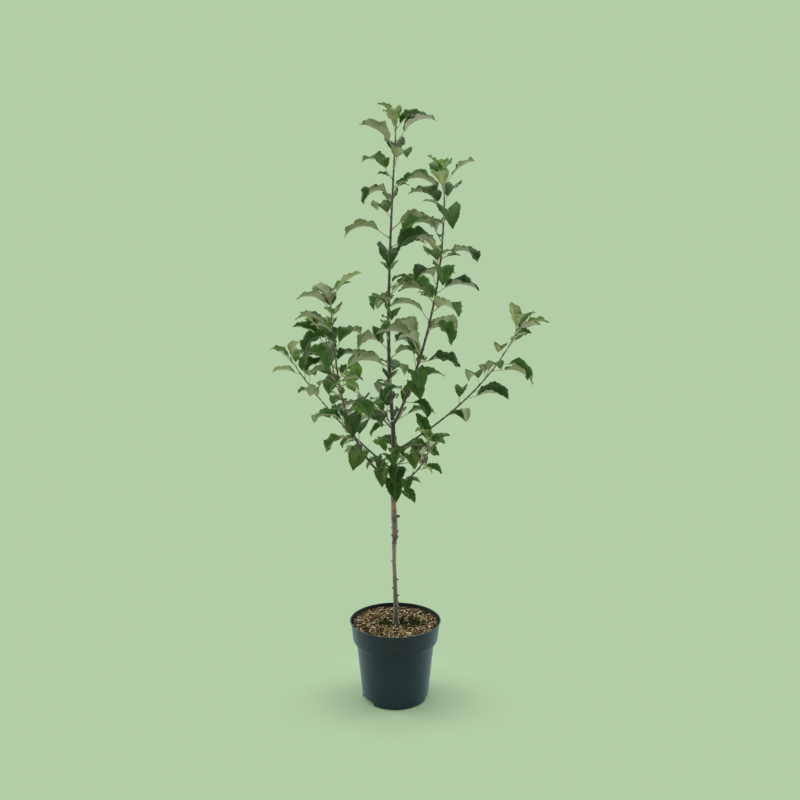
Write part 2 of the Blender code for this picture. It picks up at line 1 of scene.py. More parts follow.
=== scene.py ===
"""The looks of a young grafted apple tree in its nursery pot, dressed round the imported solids.

Metres, +Z up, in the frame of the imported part. Every shoot, leaf and spur is worked out again by the
same seeded rule as in the part's source, then drawn in full detail: blades with toothed margins and
ribs, stalks, buds, bark with relief, a turned pot, loose mulch and moss.
"""

import math
import random

import bmesh
import bpy
import numpy as np
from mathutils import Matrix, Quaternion, Vector, noise
from mathutils.bvhtree import BVHTree


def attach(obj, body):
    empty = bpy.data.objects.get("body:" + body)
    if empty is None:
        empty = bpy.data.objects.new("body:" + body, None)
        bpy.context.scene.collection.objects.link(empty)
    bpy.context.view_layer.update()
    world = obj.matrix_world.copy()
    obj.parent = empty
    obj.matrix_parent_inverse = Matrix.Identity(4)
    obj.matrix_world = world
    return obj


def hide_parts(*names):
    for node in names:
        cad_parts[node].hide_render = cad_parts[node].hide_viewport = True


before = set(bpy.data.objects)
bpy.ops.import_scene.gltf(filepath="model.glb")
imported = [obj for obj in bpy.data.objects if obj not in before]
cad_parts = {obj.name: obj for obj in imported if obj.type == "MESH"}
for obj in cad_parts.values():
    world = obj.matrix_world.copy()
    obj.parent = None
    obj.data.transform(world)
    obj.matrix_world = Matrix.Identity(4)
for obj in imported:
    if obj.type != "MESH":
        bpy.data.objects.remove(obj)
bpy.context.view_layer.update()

GAP = 0.0003  # clear space between pieces that meet
UP = Vector((0, 0, 1))
STEADY = Vector((0, 1, 0))  # angles round a shoot are counted from across this axis

# Pot: a turned shell with an out-turned lip and a stepped band
POT_HEIGHT = 0.1505
RIM_RADIUS = 0.0862
LIP_HEIGHT = 0.0018
LIP_WIDTH = 0.0028
BAND_TOP_RADIUS = 0.0842
BAND_TOP_HEIGHT = 0.1480
BAND_FOOT_RADIUS = 0.0804
BAND_FOOT_HEIGHT = 0.1145
WALL_TOP_RADIUS = 0.0729
WALL_TOP_HEIGHT = 0.1025
WALL_FOOT_RADIUS = 0.0629
WALL_FOOT_HEIGHT = 0.0050
FOOT_RADIUS = 0.0617
POT_WALL = 0.0016
POT_FLOOR = 0.0100  # the inside's bottom, clear above the drain notches
TURNED_STEPS = 48

# Drain notches in the foot: bearing from the front of the pot, towards +X
NOTCH_BEARINGS = (-61, 83, 191)
NOTCH_WIDTH = 0.044
NOTCH_HEIGHT = 0.0080
NOTCH_INNER_RADIUS = 0.0525

SOIL_HEIGHT = 0.1405

# Trunk: (sideways place, height, radius) from the flat cut on the soil, over the graft, past the fork
TRUNK_LINE = (
    (0.0012, SOIL_HEIGHT + GAP, 0.0071),
    (0.0012, 0.1460, 0.0061),
    (0.0010, 0.1750, 0.0047),
    (-0.0006, 0.2200, 0.0041),
    (-0.0024, 0.2650, 0.0038),
    (-0.0022, 0.2950, 0.0041),
    (-0.0010, 0.3140, 0.0053),
    (-0.0012, 0.3300, 0.0056),
    (-0.0024, 0.3560, 0.0055),
    (-0.0030, 0.3700, 0.0050),
    (-0.0040, 0.4020, 0.0050),
    (-0.0026, 0.4400, 0.0046),
    (-0.0032, 0.5000, 0.0043),
    (-0.0044, 0.5300, 0.0038),
)
TRUNK_STEPS = 2  # curve points from each trunk point to the next

# Buds and pruned stubs on the trunk: (height, bearing, length, radius)
TRUNK_BUDS = (
    (0.1790, 20, 0.0085, 0.0016),
    (0.2140, 190, 0.0070, 0.0012),
    (0.2260, -10, 0.0075, 0.0014),
    (0.2620, 185, 0.0070, 0.0012),
    (0.3290, 200, 0.0095, 0.0016),
    (0.3520, -25, 0.0120, 0.0022),
    (0.3080, 80, 0.0090, 0.0016),
)

# Boughs. height is where one leaves the trunk's line, bearing its direction in plan (degrees from +X
# towards +Y), swing how far that turns on the way, rise its angle above level at the foot and at the
# tip, and easing how soon it takes the tip's rise. bare is the length with no leaves, which is the
# bough. The rest is the stem of its mass of leaves: internode is the way from leaf to leaf, leaf the
# length of a full blade, and each seed settles the next few leaves.
BOUGHS = {
    "leader": dict(
        height=0.530, bearing=2, swing=1, rise=(95.5, 86.9), easing=2.6, length=0.5405, bare=0.040,
        radii=(0.0037, 0.0011), hand=1, internode=0.0174, leaf=0.069, first=0.050,
        seeds=(6703, 6614, 6291, 3556, 7762, 3552, 1070, 9660), tip_seed=1320,
    ),
    "right_centre": dict(
        height=0.522, bearing=-63, swing=26, rise=(45.5, 92.5), easing=1.2, length=0.476, bare=0.055,
        radii=(0.0027, 0.0010), hand=-1, internode=0.0155, leaf=0.069, first=0.064,
        seeds=(5319, 7686, 816, 2014, 5576, 9330, 3317, 1116), tip_seed=534,
    ),
    "left_inner": dict(
        height=0.416, bearing=-139, swing=28, rise=(29.2, 83.3), easing=1.9, length=0.398, bare=0.060,
        radii=(0.0022, 0.0010), hand=1, internode=0.0161, leaf=0.064, first=0.069,
        seeds=(1137, 3760, 7198, 6870, 6351, 3520), tip_seed=2018,
    ),
    "left_outer": dict(
        height=0.437, bearing=158, swing=1, rise=(32.9, 52.9), easing=1.1, length=0.295, bare=0.080,
        radii=(0.0020, 0.0009), hand=-1, internode=0.0198, leaf=0.053, first=0.088,
        seeds=(2805, 7864, 8069, 4345), tip_seed=746,
    ),
    "left_back": dict(
        height=0.513, bearing=111, swing=25, rise=(15.2, 45.5), easing=0.5, length=0.174, bare=0.035,
        radii=(0.0018, 0.0009), hand=-1, internode=0.0170, leaf=0.062, first=0.044,
        seeds=(9349, 2986, 4911), tip_seed=1887,
    ),
    "right": dict(
        height=0.473, bearing=23, swing=-9, rise=(24.7, 70.5), easing=0.6, length=0.343, bare=0.105,
        radii=(0.0021, 0.0009), hand=1, internode=0.0180, leaf=0.063, first=0.115,
        seeds=(5484, 819, 5319, 1720), tip_seed=1424,
    ),
    "right_low": dict(
        height=0.410, bearing=-52, swing=28, rise=(18.1, 105.4), easing=0.5, length=0.134, bare=0.035,
        radii=(0.0018, 0.0009), hand=-1, internode=0.0151, leaf=0.060, first=0.043,
        seeds=(1739, 4865, 8481), tip_seed=369,
    ),
}
# A side shoot belongs to the mass of the bough that it stands on. place is how far along that bough
# it starts, and it grows as a bough does.
SIDE_SHOOTS = {
    "left_side": dict(
        on="left_inner", place=0.205, bearing=145, swing=0, rise=(66, 75), easing=1.4, length=0.127,
        radii=(0.0012, 0.0008), hand=1, internode=0.0148, leaf=0.064, first=0.027,
        seeds=(8975, 8412, 4564), tip_seed=701,
    ),
}
BOUGH_POINTS = 80  # short straight steps that a bend is summed from
LEAVES_A_SEED = 4

# Leaves
SPIRAL = 144.0  # degrees round the shoot from one leaf to the next
TIP_ZONE = 0.075  # length of shoot below the tip where leaves are young
LEAN_FROM = 0.43  # above this height leaves turn their upper side to the light in front
LEAN_A_METRE = 0.50  # and lean that way by this much more for each metre of height, in radians
BLADE_HALF_WIDTH = 0.28  # share of the blade's length
BLADE_THICKNESS = 0.011  # half the midrib's thickness, as a share of the blade's length
PETIOLE_RADIUS = 0.0008
BLADE_STATIONS = ((0.0, 0.06), (0.20, 0.70), (0.48, 1.00), (0.78, 0.68), (1.0, 0.0))
SHORT_BLADE = 0.040  # a blade below this length is built from fewer stations
SHORT_BLADE_STATIONS = ((0.0, 0.08), (0.45, 1.00), (1.0, 0.0))
LEAF_SPARE = 0.0008  # room that a leaf is tested with
TURNS = (0, 22, -22, 44, -44)  # degrees that a leaf may be turned to clear its neighbours

# Spurs on the trunk: short stems with a rosette of leaves
SPURS = {
    "spur_left": dict(
        height=0.454, bearing=217, rise=22, length=0.019, phase=28, leaves=6, seed=437, leaf=0.060,
    ),
    "spur_right": dict(
        height=0.446, bearing=-30, rise=28, length=0.035, phase=204, leaves=6, seed=402, leaf=0.059,
    ),
    "spur_front": dict(
        height=0.437, bearing=-105, rise=10, length=0.036, phase=11, leaves=6, seed=520, leaf=0.059,
    ),
    "spur_back": dict(
        height=0.444, bearing=54, rise=43, length=0.031, phase=105, leaves=5, seed=231, leaf=0.057,
    ),
    "spur_low": dict(
        height=0.391, bearing=-31, rise=46, length=0.024, phase=358, leaves=6, seed=384, leaf=0.054,
    ),
    "spur_high": dict(
        height=0.516, bearing=-153, rise=55, length=0.034, phase=23, leaves=6, seed=185, leaf=0.056,
    ),
    "spur_top": dict(
        height=0.524, bearing=53, rise=24, length=0.035, phase=326, leaves=4, seed=221, leaf=0.056,
    ),
}
SPUR_RADII = (0.0016, 0.0010)
SPUR_ROOT = 0.0090  # from the trunk's line to the first leaf

# Colours as they show under soft daylight, 0 to 255
# The underside's colour by the margin is darker than by the midrib: painted shade of the curled blade
LEAF_TONES = {  # upper side, underside by the midrib, underside by the margin
    "dark": ((38, 65, 18), (166, 183, 140), (146, 164, 114)),
    "deep": ((48, 82, 25), (163, 181, 134), (142, 161, 108)),
    "moss": ((56, 84, 24), (161, 177, 122), (143, 160, 102)),
    "blue": ((64, 90, 55), (174, 191, 153), (158, 177, 136)),
    "pale": ((66, 96, 42), (196, 207, 171), (182, 197, 156)),
    "fresh": ((72, 108, 32), (171, 190, 126), (154, 177, 107)),
    "young": ((96, 124, 56), (180, 199, 134), (163, 186, 118)),
}
RIB_TOP = (112, 126, 78)
RIB_UNDER = (198, 196, 168)
STALK_COLOURS = {"stalk_green": (158, 170, 126), "stalk_pink": (146, 138, 106)}
BUD_COLOUR = (96, 82, 66)
TRUNK_BANDS = (  # upper end of each band and its colour, from the soil up
    (0.163, (86, 80, 57)),
    (0.204, (98, 94, 72)),
    (0.234, (103, 101, 81)),
    (0.287, (122, 122, 104)),
    (0.299, (114, 112, 96)),
    (0.309, (70, 62, 50)),
    (0.319, (94, 84, 70)),
    (0.338, (112, 101, 84)),
    (0.348, (72, 88, 62)),
    (0.363, (110, 104, 86)),
    (0.380, (148, 118, 90)),
    (0.440, (108, 99, 80)),
    (0.490, (96, 88, 70)),
    (0.540, (74, 68, 54)),
)
BARK_EDGE = (196, 200, 190)  # the tint of the bark's fine felt, seen along its edges
TRUNK_BUD_COLOUR = (92, 92, 68)
KNOBS = (  # height, bearing, length from the trunk's middle, radius
    (0.3500, -8, 0.0112, 0.0028),
    (0.3275, 172, 0.0072, 0.0020),
    (0.3215, 4, 0.0075, 0.0044),
    (0.3140, 184, 0.0070, 0.0036),
    (0.3110, -16, 0.0076, 0.0042),
    (0.3050, -88, 0.0068, 0.0034),
    (0.2560, -112, 0.0066, 0.0013),
    (0.2280, -10, 0.0072, 0.0015),
    (0.2115, 190, 0.0068, 0.0014),
    (0.1970, -12, 0.0074, 0.0016),
    (0.1730, 4, 0.0092, 0.0026),
)
WIDE_KNOB = 0.0032  # a wider one is a swelling in the bark
KNOB_CLEARANCE = 0.005  # a bud this near a knob is left out
KNOB_RISES = (-0.6, 0, 0.35, 0.65, 0.85, 1)  # where a knob has its rings, in radii from its middle
SHOOT_COLOURS = {
    "brown": (66, 63, 46),
    "violet": (55, 55, 42),
    "felt": (118, 124, 98),
    "lenticel": (148, 140, 114),
}
POT_COLOUR = (6, 32, 30)
# Lighter plastic on the top of the lip: a painted highlight along the rim
LIP_HIGHLIGHT_COLOUR = (40, 58, 55)
# The down-facing step takes its own copy of the plastic, lighter with less gloss and sheen, so that it reads as
# bright as the wall: painted light that evens out its shade
STEP_PAINTED_SHADING_COLOUR = (27, 41, 39)
POT_EDGE = (104, 186, 190)  # the tint of the worn plastic's haze, seen along its edges
# Darker, duller plastic for the inside of the pot: painted shade
INSIDE_SHADE_COLOUR = (18, 27, 20)
CHIP_COLOURS = {
    "tan": (180, 158, 108),
    "straw": (238, 222, 182),
    "olive": (122, 112, 58),
    "brown": (80, 68, 34),
    "dark": (20, 17, 7),
    "rust": (118, 84, 46),
}
CHIP_MIX = ("tan", "tan", "straw", "straw", "olive", "olive", "brown", "brown", "brown", "dark", "dark", "rust")
MOSS_COLOURS = {"moss_dark": (22, 31, 12), "moss_green": (60, 76, 32)}
BACKDROP = (179, 206, 167)

# Camera: fitted to the photograph
CAMERA_PLACE = (0.0088, -1.478, 0.752)
CAMERA_PITCH = 7.03  # degrees below level
FOCAL_PIXELS = 811
PICTURE_SIZE = 800
SENSOR = 36.0

# Leaf detail
LEAF_SLICES = 52
LEAF_COLUMNS = (-1, -0.8, -0.55, -0.3, -0.06, 0, 0.06, 0.3, 0.55, 0.8, 1)
RIB_EDGE = 0.06
BLADE_DEPTH = 0.00030
TOOTH = 0.045
SIDE_VEINS = 8
SCALLOP = 0.034  # how far a blade's margin swings in and out, as a share of its half width
RUFFLE = 0.045  # how far it swings up and down
BLADE_OUTLINE = (
    (0.0, 0.05), (0.05, 0.30), (0.12, 0.56), (0.22, 0.80), (0.34, 0.95), (0.46, 1.0),
    (0.60, 0.94), (0.74, 0.74), (0.85, 0.46), (0.93, 0.20), (1.0, 0.01),
)
SWELL = 0.24  # how much thicker a shoot is at a leaf, and how far along
SWELL_REACH = 0.0024

# Pot detail
POT_SEGMENTS = 180
LIP_ROUND = 0.0009
STEP_ROUND = 0.0018  # how far a corner of the step is eased
# A face that looks towards the middle takes the inside's painted shade
INSIDE_FACING = -0.3  # a face that looks this much towards the middle belongs to the inside

# A face that looks down takes the step's copy of the plastic, with its painted light
STEP_FACING = -0.2  # and one that looks this much down to the step

# Mulch
BED_FOOT = 0.1413  # height round the trunk
BED_EDGE = 0.1432  # height at the pot's wall
BED_BUMPS = 0.0008
BED_RINGS = 36
BED_SPOKES = 120
CHIPS = 4700
CHIP_LENGTHS = (0.0034, 0.0095)
LONG_CHIP_LENGTHS = (0.0095, 0.0160)
MOSS_TUFTS = 1300
MOSS_CENTRE = Vector((0.012, 0.003))
MOSS_REACH = Vector((0.048, 0.024))

# Light
FLOOR_COLOUR = (172, 198, 160)
FLOOR_FADE = (0.10, 0.24)  # how far from the pot's middle the backdrop's own colour begins and is full
FLOOR_BOUNCE = (0.80, 0.80, 0.78)  # what the floor throws back, without a tint
WORLD_LIGHT = 0.49
SUNS = (  # name, bearing, height, spread, strength
    ("left", -85, 38, 60, 0.82),
    ("right", 85, 38, 60, 0.72),
    ("low_front", -20, 4, 50, 0.30),
    ("left_edge", -112, 18, 40, 1.45),
    ("right_edge", 112, 18, 40, 1.25),
    ("back", 180, 55, 50, 0.68),
)


def point_on_trunk(height):
    for (x0, z0, r0), (x1, z1, r1) in zip(TRUNK_LINE, TRUNK_LINE[1:]):
        if height <= z1:
            share = (height - z0) / (z1 - z0)
            return Vector((x0 + (x1 - x0) * share, 0, height))
    return Vector((TRUNK_LINE[-1][0], 0, TRUNK_LINE[-1][1]))


def direction(bearing, rise):
    """Unit vector at a bearing in plan and an angle above level, both in radians."""
    return Vector((math.cos(rise) * math.cos(bearing), math.cos(rise) * math.sin(bearing), math.sin(rise)))


def bend_points(bough, foot):
    """The line of a bough, summed from short steps whose rise and bearing change smoothly."""
    line = [foot]
    foot_rise, tip_rise = bough["rise"]
    step = bough["length"] / BOUGH_POINTS
    for i in range(BOUGH_POINTS):
        share = (i + 0.5) / BOUGH_POINTS
        rise = tip_rise + (foot_rise - tip_rise) * (1 - share) ** bough["easing"]
        bearing = bough["bearing"] + bough["swing"] * share
        line.append(line[-1] + direction(math.radians(bearing), math.radians(rise)) * step)
    return line


def along(line, share):
    """Point and direction at this share of a line of even steps."""
    place = min(max(share, 0), 0.9999) * (len(line) - 1)
    i = int(place)
    way = line[i + 1] - line[i]
    return line[i] + way * (place - i), way.normalized()


def shoot_lines():
    """The lines of all boughs and of the side shoots that stand on them."""
    lines = {name: bend_points(bough, point_on_trunk(bough["height"])) for name, bough in BOUGHS.items()}
    for name, side in SIDE_SHOOTS.items():
        share = side["place"] / BOUGHS[side["on"]]["length"]
        lines[name] = bend_points(side, along(lines[side["on"]], share)[0])
    return lines


def sides_of(name):
    """The names of the side shoots on a bough."""
    return [side for side, shoot in SIDE_SHOOTS.items() if shoot["on"] == name]


def stretch(bough, line, start, end, pieces):
    """Points and radii of one stretch of a bough, given in metres from its foot."""
    points = []
    radii = []
    thick, thin = bough["radii"]
    for i in range(pieces + 1):
        share = (start + (end - start) * i / pieces) / bough["length"]
        points.append(along(line, share)[0])
        radii.append(thick + (thin - thick) * share)
    return points, radii


def sideways(way, angle):
    """Unit vector square to the way, turned by an angle in radians from the steady direction."""
    side = way.cross(STEADY).normalized()
    return side * math.cos(angle) + way.cross(side) * math.sin(angle)


def leaf_spec(root, way, petiole, length, rise, bend, fold, roll, yaw):
    """What sets one leaf. Angles are in degrees. The blade leaves its stalk at rise and droops by bend."""
    lean = max(0, LEAN_A_METRE * (root.z - LEAN_FROM))
    heading = math.atan2(way.y, way.x)
    return dict(
        root=root, way=way, petiole=petiole, length=length,
        rise=math.radians(rise) + 0.5 * lean * math.sin(heading), bend=math.radians(bend),
        fold=math.radians(fold), roll=math.radians(roll) + lean * math.cos(heading), yaw=math.radians(yaw),
    )


def shoot_leaves(bough, line):
    """The leaves of one shoot: a spiral whose phase and small differences come from its seeds."""
    length = bough["length"]
    place = bough["first"]
    leaves = []
    count = 0
    while place < length - 0.004 and count < LEAVES_A_SEED * len(bough["seeds"]):
        if count % LEAVES_A_SEED == 0:
            rng = random.Random(bough["seeds"][count // LEAVES_A_SEED])
            phase = rng.uniform(0, 360)
        left = length - place
        root, way = along(line, place / length)
        angle = phase + bough["hand"] * SPIRAL * (count % LEAVES_A_SEED) + rng.uniform(-24, 24)
        young = max(0, 1 - left / TIP_ZONE)
        spread = math.radians(50 - 22 * young + rng.uniform(-9, 9))
        stalk = way * math.cos(spread) + sideways(way, math.radians(angle)) * math.sin(spread)
        size = bough["leaf"] * (0.70 + 0.30 * min(1, left / 0.09))
        size *= 0.72 + 0.28 * min(1, (place - bough["first"]) / 0.06)
        size *= 1 + rng.uniform(-0.16, 0.16)
        petiole = size * rng.uniform(0.28, 0.42)
        rise = 0.55 * math.degrees(math.asin(stalk.z)) + 14 + 26 * young + rng.uniform(-12, 12)
        bend = 88 - 45 * young + rng.uniform(-20, 20)
        fold = 40 + rng.uniform(-10, 12)
        roll = rng.uniform(-20, 20)
        yaw = rng.uniform(-25, 25)
        leaves.append(leaf_spec(root, stalk, petiole, size, rise, bend, fold, roll, yaw))
        if rng.random() < 0.45 and left > 0.05:
            leaves += bud_leaves(rng, root, way, angle)
        place += bough["internode"] * (0.34 + 0.66 * min(1, left / 0.085)) * (1 + rng.uniform(-0.2, 0.2))
        count += 1
    return leaves + tip_leaves(bough, line)


def bud_leaves(rng, root, way, angle):
    """One or two small leaves beside a full one, from the bud in its axil."""
    leaves = []
    for _ in range(rng.choice((1, 2))):
        turned = math.radians(angle + rng.uniform(-60, 60))
        spread = math.radians(rng.uniform(30, 60))
        stalk = way * math.cos(spread) + sideways(way, turned) * math.sin(spread)
        size = rng.uniform(0.020, 0.036)
        rise = 0.7 * math.degrees(math.asin(stalk.z)) + 10
        bend = rng.uniform(40, 80)
        roll = rng.uniform(-25, 25)
        yaw = rng.uniform(-30, 30)
        leaves.append(leaf_spec(root, stalk, size * 0.4, size, rise, bend, 30, roll, yaw))
    return leaves


def tip_leaves(bough, line):
    """The youngest leaves, upright round the shoot's tip."""
    rng = random.Random(bough["tip_seed"])
    root, way = along(line, 1 - 0.003 / bough["length"])
    angle = rng.uniform(0, 2 * math.pi)
    leaves = []
    for _ in range(3):
        angle += math.radians(140 + rng.uniform(-30, 30))
        stalk = Vector([0.9 * a + rng.uniform(0.2, 0.9) * b for a, b in zip(way, sideways(way, angle))])
        stalk.normalize()
        size = rng.uniform(0.030, 0.052)
        petiole = rng.uniform(0.004, 0.018)
        rise = rng.uniform(25, 78)
        bend = rng.uniform(15, 80)
        leaves.append(leaf_spec(root, stalk, petiole, size, rise, bend, 42, 0, rng.uniform(-20, 20)))
    return leaves


def rosette_leaves(spur, line):
    """The leaves of a short spur, close together round its stem."""
    rng = random.Random(spur["seed"])
    leaves = []
    for i in range(spur["leaves"]):
        place = SPUR_ROOT + (spur["length"] - 0.002 - SPUR_ROOT) * i / (spur["leaves"] - 1)
        root, way = along(line, place / spur["length"])
        angle = math.radians(spur["phase"] + SPIRAL * i + rng.uniform(-25, 25))
        spread = math.radians(50 + rng.uniform(-12, 12))
        stalk = way * math.cos(spread) + sideways(way, angle) * math.sin(spread)
        size = spur["leaf"] * rng.uniform(0.62, 1.1)
        rise = 0.6 * math.degrees(math.asin(stalk.z)) + 12 + rng.uniform(-10, 10)
        bend = 82 + rng.uniform(-22, 18)
        fold = 37 + rng.uniform(-10, 10)
        roll = rng.uniform(-22, 22)
        yaw = rng.uniform(-25, 25)
        leaves.append(leaf_spec(root, stalk, size * 0.36, size, rise, bend, fold, roll, yaw))
    return leaves


def cross_section(centre, bearing, rise, roll, half_width, fold, half_thick):
    """Four corners round a leaf's midrib: left edge, top, right edge, underside."""
    way = direction(bearing, rise)
    side = Quaternion(way, roll) @ Vector((-math.sin(bearing), math.cos(bearing), 0))
    top = way.cross(side)
    middle = centre + top * math.sin(fold) * half_width
    reach = side * math.cos(fold) * half_width
    return [middle + reach, centre + top * half_thick, middle - reach, centre - top * half_thick]


def leaf_rings(leaf, spare=0.0):
    """Cross sections of a leaf from the root of its stalk to the blade's last station, and its point."""
    heading = math.atan2(leaf["way"].y, leaf["way"].x)
    length = leaf["length"]
    stalk = PETIOLE_RADIUS + spare
    centre = leaf["root"] + leaf["way"] * leaf["petiole"]
    rings = [cross_section(leaf["root"], heading, math.asin(leaf["way"].z), leaf["roll"], stalk, 0, stalk)]
    last = 0
    for station, width in SHORT_BLADE_STATIONS if length < SHORT_BLADE else BLADE_STATIONS:
        for quarter in range(4):
            share = last + (station - last) * (quarter + 0.5) / 4
            way = direction(heading + leaf["yaw"] * share, leaf["rise"] - leaf["bend"] * share)
            centre = centre + way * (length * (station - last) / 4)
        last = station
        half_width = width * BLADE_HALF_WIDTH * length + spare
        half_thick = BLADE_THICKNESS * length * (1 - 0.5 * station) + spare
        bearing = heading + leaf["yaw"] * station
        rise = leaf["rise"] - leaf["bend"] * station
        rings.append(cross_section(centre, bearing, rise, leaf["roll"], half_width, leaf["fold"], half_thick))
    return rings[:-1], centre


def leaf_faces(leaf, spare=0.0, blade_only=False):
    """Points and faces of the closed loft through a leaf's cross sections."""
    rings, point = leaf_rings(leaf, spare)
    if blade_only:
        rings = rings[1:]
    points = [corner for ring in rings for corner in ring] + [point]
    faces = [(0, 1, 2, 3)]
    for i in range(0, 4 * (len(rings) - 1), 4):
        for edge in (i, i + 2):
            for middle in (i + 1, i + 3):
                faces.append((edge, edge + 4, middle + 4))
                faces.append((edge, middle + 4, middle))
    last = 4 * (len(rings) - 1)
    for j in range(4):
        faces.append((last + j, len(points) - 1, last + (j + 1) % 4))
    return points, faces


def tree_of(points, faces):
    return BVHTree.FromPolygons([tuple(point) for point in points], faces)


class Neighbours:
    """What stands so far, to keep each new leaf clear of it."""

    def __init__(self):
        self.pieces = []

    def add(self, owner, points, faces):
        centre = sum(points, Vector()) / len(points)
        reach = max((point - centre).length for point in points)
        self.pieces.append((owner, centre, reach, tree_of(points, faces)))

    def add_object(self, owner, obj):
        points = [vert.co.copy() for vert in obj.data.vertices]
        self.add(owner, points, [tuple(face.vertices) for face in obj.data.polygons])

    def touched_by(self, leaf, owner):
        points, faces = leaf_faces(leaf, LEAF_SPARE)
        whole = tree_of(points, faces)
        blade = tree_of(*leaf_faces(leaf, LEAF_SPARE, blade_only=True))
        centre = sum(points, Vector()) / len(points)
        reach = max((point - centre).length for point in points)
        for other, place, size, tree in self.pieces:
            if (place - centre).length > reach + size:
                continue
            if (blade if other == owner else whole).overlap(tree):
                return True
        return False


def turned_leaf(leaf, degrees):
    made = dict(leaf)
    made["way"] = Quaternion(UP, math.radians(degrees)) @ leaf["way"]
    return made


def settle(leaves, owner, neighbours):
    """Keeps the leaves that clear everything, turned a little where that helps."""
    kept = []
    for leaf in leaves:
        for degrees in TURNS:
            made = turned_leaf(leaf, degrees)
            if not neighbours.touched_by(made, owner):
                kept.append(made)
                neighbours.add(owner, *leaf_faces(made))
                break
    return kept


def srgb(colour):
    """Linear values of a colour that is given as it shows on a screen."""
    shares = [value / 255 for value in colour]
    return tuple(s / 12.92 if s <= 0.04045 else ((s + 0.055) / 1.055) ** 2.4 for s in shares)


def lighter(colour, factor):
    return tuple(min(255, value * factor) for value in colour)


def edge_light(material, weight, roughness, tint):
    """A fine haze on a surface, which catches the side light where the surface turns away."""
    shader = material.node_tree.nodes["Principled BSDF"]
    shader.inputs["Sheen Weight"].default_value = weight
    shader.inputs["Sheen Roughness"].default_value = roughness
    shader.inputs["Sheen Tint"].default_value = (*srgb(tint), 1)


class Heap:
    """Points, faces and material slots of many small shapes, which become one mesh."""

    def __init__(self):
        self.points = []
        self.faces = []
        self.slots = []

    def add(self, points, faces, slots):
        start = len(self.points)
        self.points.extend(tuple(point) for point in points)
        self.faces.extend(tuple(start + i for i in face) for face in faces)
        self.slots.extend(slots if hasattr(slots, "__len__") else [slots] * len(faces))

    def make(self, name, materials, flat=False):
        mesh = bpy.data.meshes.new(name)
        mesh.from_pydata(self.points, [], self.faces)
        for made in materials:
            mesh.materials.append(made)
        mesh.polygons.foreach_set("material_index", self.slots)
        if not flat:
            mesh.shade_smooth()
        mesh.validate()
        obj = bpy.data.objects.new(name, mesh)
        bpy.context.scene.collection.objects.link(obj)
        return obj


def dress(piece, slot, *nodes):
    """Ties a piece to the body and hides the nodes that it stands for. The finish that it takes is not used."""
    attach(piece, "root")
    if nodes:
        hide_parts(*nodes)


def node(tree, kind, **values):
    made = tree.nodes.new(kind)
    for name, value in values.items():
        if name in made.inputs:
            made.inputs[name].default_value = value
        else:
            setattr(made, name, value)
    return made


def surface(name, colour, roughness, spots, scale, mix=1.0, bump=0.3, bump_scale=300, stretch=(1, 1, 1), gloss=0.5):
    """A material of one colour that drifts to a second one in soft spots, with fine relief."""
    made = bpy.data.materials.new(name)
    made.use_nodes = True
    tree = made.node_tree
    shader = tree.nodes["Principled BSDF"]
    shader.inputs["Roughness"].default_value = roughness
    shader.inputs["Specular IOR Level"].default_value = gloss
    place = node(tree, "ShaderNodeTexCoord")
    mapping = node(tree, "ShaderNodeMapping", Scale=stretch)
    cloud = node(tree, "ShaderNodeTexNoise", Scale=scale, Detail=4.0, Roughness=0.6)
    ramp = node(tree, "ShaderNodeValToRGB")
    ramp.color_ramp.elements[0].position = 0.5 - 0.25 * mix
    ramp.color_ramp.elements[1].position = 0.5 + 0.25 * mix
    ramp.color_ramp.elements[0].color = (*srgb(colour), 1)
    ramp.color_ramp.elements[1].color = (*srgb(spots), 1)
    grain = node(tree, "ShaderNodeTexNoise", Scale=bump_scale, Detail=3.0)
    relief = node(tree, "ShaderNodeBump", Strength=bump, Distance=0.0005)
    tree.links.new(place.outputs["Object"], mapping.inputs["Vector"])
    tree.links.new(mapping.outputs["Vector"], cloud.inputs["Vector"])
    tree.links.new(cloud.outputs["Fac"], ramp.inputs["Fac"])
    tree.links.new(ramp.outputs["Color"], shader.inputs["Base Color"])
    tree.links.new(mapping.outputs["Vector"], grain.inputs["Vector"])
    tree.links.new(grain.outputs["Fac"], relief.inputs["Height"])
    tree.links.new(relief.outputs["Normal"], shader.inputs["Normal"])
    return made


def leaf_frames(leaf, slices, twist=0.0):
    """Centre, forward, side and top directions at even stations of a blade."""
    heading = math.atan2(leaf["way"].y, leaf["way"].x)
    centre = leaf["root"] + leaf["way"] * leaf["petiole"]
    frames = []
    for i in range(slices + 1):
        if i:
            share = (i - 0.5) / slices
            way = direction(heading + leaf["yaw"] * share, leaf["rise"] - leaf["bend"] * share)
            centre = centre + way * (leaf["length"] / slices)
        station = i / slices
        bearing = heading + leaf["yaw"] * station
        way = direction(bearing, leaf["rise"] - leaf["bend"] * station)
        roll = leaf["roll"] + twist * (station - 0.3)
        side = Quaternion(way, roll) @ Vector((-math.sin(bearing), math.cos(bearing), 0))
        frames.append((station, centre, way, side, way.cross(side)))
    return frames


def blade_slots(tone, rng):
    """A function that deals out a blade's colours from a face's place on it and its side."""
    ribs = 3 * len(LEAF_TONES)
    turns = 2 * math.pi * rng.uniform(1.2, 2.8)
    phase = rng.uniform(0, 2 * math.pi)

    def slot(station, across, under):
        if abs(across) < RIB_EDGE:
            return ribs + under
        if not under:
            return 3 * tone
        # Underside faces out past a wavy line towards the margin take the darker colour: painted shade
        edge = 0.55 + 0.3 * math.sin(turns * station + phase + across)
        return 3 * tone + (2 if abs(across) > edge else 1)

    return slot


